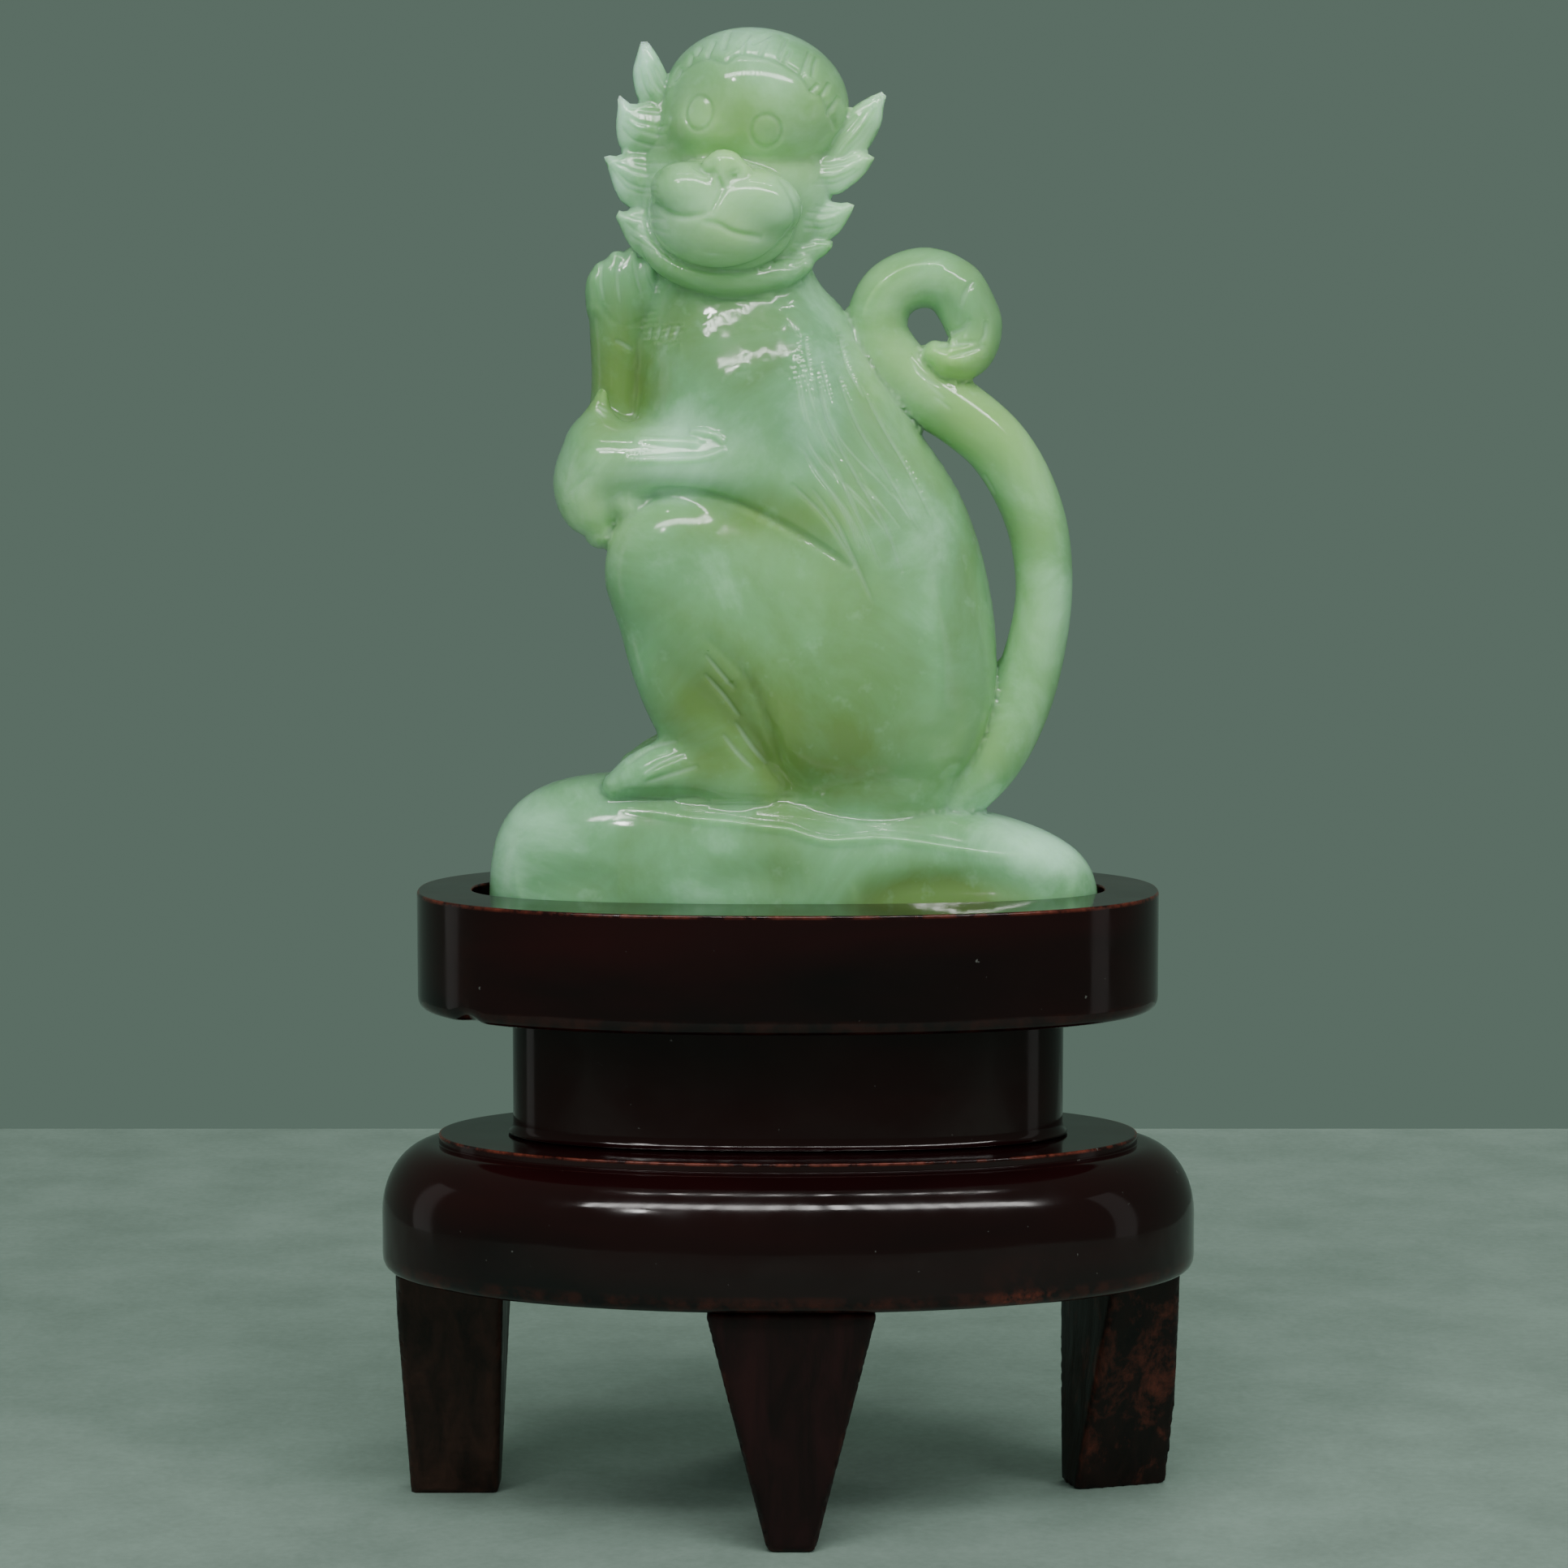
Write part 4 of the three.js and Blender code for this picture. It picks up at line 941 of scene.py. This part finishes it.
def runTree(name, mesh, tree, values):
    holder = bpy.data.objects.new(name, mesh)
    bpy.context.scene.collection.objects.link(holder)
    modifier = holder.modifiers.new("shape", "NODES")
    modifier.node_group = tree
    sockets = {item.name: item.identifier for item in tree.interface.items_tree if item.in_out == "INPUT"}
    for key, value in values.items():
        modifier[sockets[key]] = value
    holder.update_tag()
    bpy.context.view_layer.update()
    graph = bpy.context.evaluated_depsgraph_get()
    made = bpy.data.meshes.new_from_object(holder.evaluated_get(graph), preserve_all_data_layers=True,
                                           depsgraph=graph)
    holder.modifiers.remove(modifier)
    holder.data = made
    made.name = name
    work = bmesh.new()
    work.from_mesh(made)
    bmesh.ops.remove_doubles(work, verts=work.verts[:], dist=1e-7)
    bmesh.ops.recalc_face_normals(work, faces=work.faces[:])
    work.to_mesh(made)
    work.free()
    return holder


seatBoard = {"halfLength": 51.2, "halfDepth": 28.8, "low": 69.8, "high": 86.0, "roundness": 2.35,
             "lowEdge": 1.8, "highEdge": 0.45, "pocketEnd": 7.5, "pocketSide": 12.3, "pocketFloor": 81.0,
             "pocketEdge": 0.35, "waver": 0.22, "seed": 1.0}
neckBoard = {"halfLength": 38.2, "halfDepth": 15.8, "low": 52.2, "high": 69.5, "roundness": 2.35, "bead": 0.7,
             "waver": 0.2, "seed": 2.0}
baseBoard = {"halfLength": 56.5, "halfDepth": 32.0, "low": 33.0, "high": 51.9, "roundness": 2.1,
             "shoulderInset": 7.4, "shoulderLow": 41.1, "shoulderTop": 50.6, "stepInset": 7.9,
             "stepEdge": 0.35, "lowEdge": 2.2, "waver": 0.5, "seed": 3.0}


around = 256  # steps round a board
# chips and rubbed places: middle, reach, how deep, how worn
boardMarks = {
    "seatBoard": [((-43.4, -17.6, 70.0), (1.7, 1.7, 1.2), 0.9, 0.5)],
    "baseBlock": [((31.5, -27, 34), (5.5, 4.5, 1.1), 0.15, 1.0), ((-46, -18, 33.2), (3, 3, 1), 0.1, 0.7)],
}


def markBoard(mesh, marks):
    worn = mesh.attributes["worn"].data
    normals = [v.normal.copy() for v in mesh.vertices]
    for middle, reach, depth, rubbed in marks:
        for v, normal in zip(mesh.vertices, normals):
            away = v.co / mm - Vector(middle)
            near = math.exp(-sum((a / r) ** 2 for a, r in zip(away, reach)))
            if near > 0.02:
                v.co -= normal * depth * near * mm
                worn[v.index].value = max(worn[v.index].value, rubbed * near)


def scaledProfile(points):
    return [(a * mm, b * mm, c * mm, w) for a, b, c, w in points]


def seatProfile():
    s = seatBoard
    low, high, middle = s["low"], s["high"], s["halfDepth"]
    return cornered([(middle, middle, low, 0, 0), (0, 0, low, s["lowEdge"], 0.12),
                     (0, 0, high, s["highEdge"], 0.7),
                     (s["pocketEnd"], s["pocketSide"], high, s["pocketEdge"], 0.8),
                     (s["pocketEnd"], s["pocketSide"], s["pocketFloor"], 0.3, 0),
                     (middle, middle, s["pocketFloor"], 0, 0)])


def neckProfile():
    n = neckBoard
    middle = n["halfDepth"]
    return cornered([(middle, middle, n["low"], 0, 0), (-n["bead"], -n["bead"], n["low"], 0.12, 0),
                     (0, 0, n["low"] + n["bead"], n["bead"], 0), (0, 0, n["high"], 0.3, 0),
                     (middle, middle, n["high"], 0, 0)])


def baseProfile():
    b = baseBoard
    middle, rise = b["halfDepth"], b["shoulderTop"] - b["shoulderLow"]
    points = cornered([(middle, middle, b["low"], 0, 0), (0, 0, b["low"], b["lowEdge"], 0.2),
                       (0, 0, b["shoulderLow"], 0, 0)])
    for t in np.linspace(0, 1, 15)[1:]:
        inset = b["shoulderInset"] * (1 - math.cos(t * math.pi / 2))
        points.append((inset, inset, b["shoulderLow"] + rise * math.sin(t * math.pi / 2), 0))
    step = cornered([(b["shoulderInset"], b["shoulderInset"], b["shoulderTop"], 0, 0),
                     (b["stepInset"], b["stepInset"], b["shoulderTop"] + 0.02, 0.12, 0),
                     (b["stepInset"], b["stepInset"], b["high"], b["stepEdge"], 0.9),
                     (middle, middle, b["high"], 0, 0)])
    return points + step[1:]


lacquerLook = {"black": (0.0020, 0.0014, 0.0015), "red": (0.0125, 0.0017, 0.0021),
               "worn": (0.13, 0.024, 0.013), "dust": (0.07, 0.07, 0.065), "gloss": 0.07, "grain": 10.0,
               "patches": 260.0, "specks": 900.0, "sheen": 120.0, "brush": 60.0}


def makeLacquer():
    material, tree = newMaterial("redBlackLacquer")
    place = addNode(tree, "ShaderNodeTexCoord").outputs["Object"]
    grain = noise(tree, placed(tree, place, scale=(1, 2, 4)), lacquerLook["grain"], 4, 0.5, 0.4)
    depth = ramp(tree, grain, [(0.34, lacquerLook["black"]), (0.66, lacquerLook["red"])])
    edge = painted(tree, "worn")
    patches = noise(tree, place, lacquerLook["patches"], 4, 0.7)
    rubbed = maths(tree, "MULTIPLY", edge, ramp(tree, patches, [(0.42, grey(0)), (0.62, grey(1))]),
                   clamp=True)
    colour = blendColour(tree, rubbed, depth, lacquerLook["worn"])
    dust = ramp(tree, noise(tree, place, lacquerLook["specks"], 2, 0.5), [(0.76, grey(0)), (0.8, grey(1))])
    colour = blendColour(tree, dust, colour, lacquerLook["dust"])
    gloss = lacquerLook["gloss"]
    base = ramp(tree, noise(tree, place, lacquerLook["sheen"], 4, 0.6),
                [(0.35, grey(gloss)), (0.75, grey(gloss + 0.12))])
    rough = blendColour(tree, rubbed, base, grey(0.38))
    brushed = noise(tree, placed(tree, place, scale=(1, 1, 0.35)), lacquerLook["brush"], 2, 0.5)
    bump = addNode(tree, "ShaderNodeBump", {"Strength": 0.14, "Distance": 0.0007, "Height": brushed})
    shader = addNode(tree, "ShaderNodeBsdfPrincipled", {"Base Color": colour, "Roughness": rough, "IOR": 1.45,
                     "Specular IOR Level": 0.42, "Normal": bump.outputs[0]})
    addNode(tree, "ShaderNodeOutputMaterial", {"Surface": shader.outputs[0]})
    return material


def makeBoard(name, node, sizes, profile, tree, finish):
    points = scaledProfile(profile)
    board = runTree(name, profileMesh(name + "Profile", points), tree, {
        "Half Length": sizes["halfLength"] * mm, "Half Depth": sizes["halfDepth"] * mm,
        "Roundness": sizes["roundness"], "Profile Points": len(points), "Around": around,
        "Waver": sizes["waver"] * mm, "Seed": sizes["seed"], "Finish": finish})
    markBoard(board.data, boardMarks.get(name, []))
    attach(board, "root")
    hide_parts(node)
    print(name, "has", len(board.data.polygons), "faces")


lacquer = makeLacquer()
boardShape = boardTree()
makeBoard("seatBoard", "seat_board", seatBoard, seatProfile(), boardShape, lacquer)
makeBoard("neckBlock", "neck_block", neckBoard, neckProfile(), boardShape, lacquer)
makeBoard("baseBlock", "base_block", baseBoard, baseProfile(), boardShape, lacquer)


# the sawn legs, cut roughly and left matt

legSaw = {"skin": 0.5, "rounding": 0.55, "ragged": 0.55, "waver": 0.12, "edge": 3.2, "sideShare": 0.35,
          "free": 0.8, "roughGrain": (0.9, 0.9, 1.6), "fineGrain": 2.3, "sawGrain": (0.25, 0.25, 3.5),
          "turns": {"leg_front": 0, "leg_back": 180, "leg_left": -90, "leg_right": 107}}
legWood = {
    "leg_front": {"dark": (0.0042, 0.0014, 0.0015), "light": (0.0112, 0.0024, 0.0026), "rubbed": -0.3},
    "leg_back": {"dark": (0.0026, 0.0014, 0.0014), "light": (0.0085, 0.0032, 0.0030), "rubbed": -0.3},
    "leg_left": {"dark": (0.0062, 0.0036, 0.0028), "light": (0.028, 0.0125, 0.0088), "rubbed": -0.08},
    "leg_right": {"dark": (0.0028, 0.0018, 0.0016), "light": (0.011, 0.0052, 0.0042), "rubbed": 0.24},
}
legMarks = {"grain": 70.0, "patches": 210.0, "worn": (0.10, 0.024, 0.0145), "glue": (0.45, 0.40, 0.26),
            "gloss": 0.34, "wornPlace": (51, -2, 18), "wornReach": 20, "gluePlace": (43.4, 1.0, 32.6),
            "glueReach": 1.4}


def distanceTo(tree, place, point, reach):  # 0 at the point, 1 at the reach
    away = addNode(tree, "ShaderNodeVectorMath", {0: place, 1: [v * mm for v in point]},
                   operation="DISTANCE").outputs["Value"]
    return maths(tree, "MULTIPLY", away, 1 / (reach * mm))


def makeLegWood(name, stain):
    material, tree = newMaterial(name)
    place = addNode(tree, "ShaderNodeTexCoord").outputs["Object"]
    grain = noise(tree, placed(tree, place, scale=(4, 4, 1)), legMarks["grain"], 5, 0.6, 0.5)
    colour = ramp(tree, grain, [(0.35, stain["dark"]), (0.7, stain["light"])])
    patches = noise(tree, placed(tree, place, scale=(1, 1, 0.7)), legMarks["patches"], 6, 0.72, 0.3)
    near = ramp(tree, distanceTo(tree, place, legMarks["wornPlace"], legMarks["wornReach"]),
                [(0.3, grey(1)), (1, grey(0.3))])
    rubbed = ramp(tree, maths(tree, "MULTIPLY_ADD", near, stain["rubbed"], patches),
                  [(0.68, grey(0)), (0.88, grey(0.7))])
    edge = painted(tree, "worn")
    rubbed = maths(tree, "MAXIMUM", rubbed,
                   maths(tree, "MULTIPLY", edge, ramp(tree, patches, [(0.5, grey(0)), (0.65, grey(0.3))])))
    colour = blendColour(tree, rubbed, colour, legMarks["worn"])
    glue = maths(tree, "MULTIPLY_ADD", patches, 0.5,
                 distanceTo(tree, place, legMarks["gluePlace"], legMarks["glueReach"]))
    colour = blendColour(tree, ramp(tree, glue, [(0.9, grey(1)), (1.15, grey(0))]), colour, legMarks["glue"])
    rough = ramp(tree, grain, [(0.3, grey(legMarks["gloss"])), (0.7, grey(legMarks["gloss"] + 0.25))])
    bump = addNode(tree, "ShaderNodeBump", {"Strength": 0.3, "Distance": 0.0004, "Height": grain})
    shader = addNode(tree, "ShaderNodeBsdfPrincipled",
                     {"Base Color": colour, "Roughness": rough, "Specular IOR Level": 0.25,
                      "Normal": bump.outputs[0]})
    addNode(tree, "ShaderNodeOutputMaterial", {"Surface": shader.outputs[0]})
    return material


def makeLeg(node, finish):
    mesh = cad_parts[node].data.copy()
    work = bmesh.new()
    work.from_mesh(mesh)
    bmesh.ops.remove_doubles(work, verts=work.verts[:], dist=1e-6)
    work.to_mesh(mesh)
    work.free()
    name = node.replace("leg_", "") + "Leg"
    leg = bpy.data.objects.new(name, mesh)
    bpy.context.scene.collection.objects.link(leg)
    bevel = leg.modifiers.new("rounding", "BEVEL")
    bevel.width, bevel.segments = legSaw["rounding"] * mm, 2
    bevel.limit_method, bevel.angle_limit = "ANGLE", math.radians(40)
    remesh = leg.modifiers.new("skin", "REMESH")
    remesh.mode, remesh.voxel_size = "VOXEL", legSaw["skin"] * mm
    bpy.context.view_layer.update()
    graph = bpy.context.evaluated_depsgraph_get()
    mesh = bpy.data.meshes.new_from_object(leg.evaluated_get(graph), depsgraph=graph)
    leg.modifiers.clear()
    leg.data = mesh
    mesh.name = name
    turn = math.radians(legSaw["turns"][node])
    way = Vector((math.cos(turn), math.sin(turn), 0))
    out = Vector((-math.sin(turn), math.cos(turn), 0))
    worn = []
    top = max(v.co.z for v in mesh.vertices)
    normals = [v.normal.copy() for v in mesh.vertices]
    for v, normal in zip(mesh.vertices, normals):
        edge = min(1.0, legSaw["edge"] * (1 - max(abs(normal.dot(way)), abs(normal.dot(out)), abs(normal.z))))
        point = v.co * 1000
        rough = bpyNoise.noise(point * Vector(legSaw["roughGrain"]))
        rough += 0.5 * bpyNoise.noise(point * legSaw["fineGrain"])
        saw = bpyNoise.noise(point * Vector(legSaw["sawGrain"]))
        side = 1.0 if abs(normal.dot(way)) > 0.6 else legSaw["sideShare"]
        free = min(1.0, max(0.0, min(top - v.co.z, v.co.z) / (legSaw["free"] * mm)))
        cut = edge * legSaw["ragged"] * abs(rough) + legSaw["waver"] * side * abs(saw)
        v.co -= normal * mm * free * cut
        worn.append(edge)
    mesh.attributes.new("worn", "FLOAT", "POINT").data.foreach_set("value", worn)
    mesh.polygons.foreach_set("use_smooth", [True] * len(mesh.polygons))
    mesh.materials.clear()
    mesh.materials.append(finish)
    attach(leg, "root")
    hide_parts(node)
    print(name, "has", len(mesh.polygons), "faces")


for node, stain in legWood.items():
    makeLeg(node, makeLegWood(node.replace("leg_", "") + "LegWood", stain))
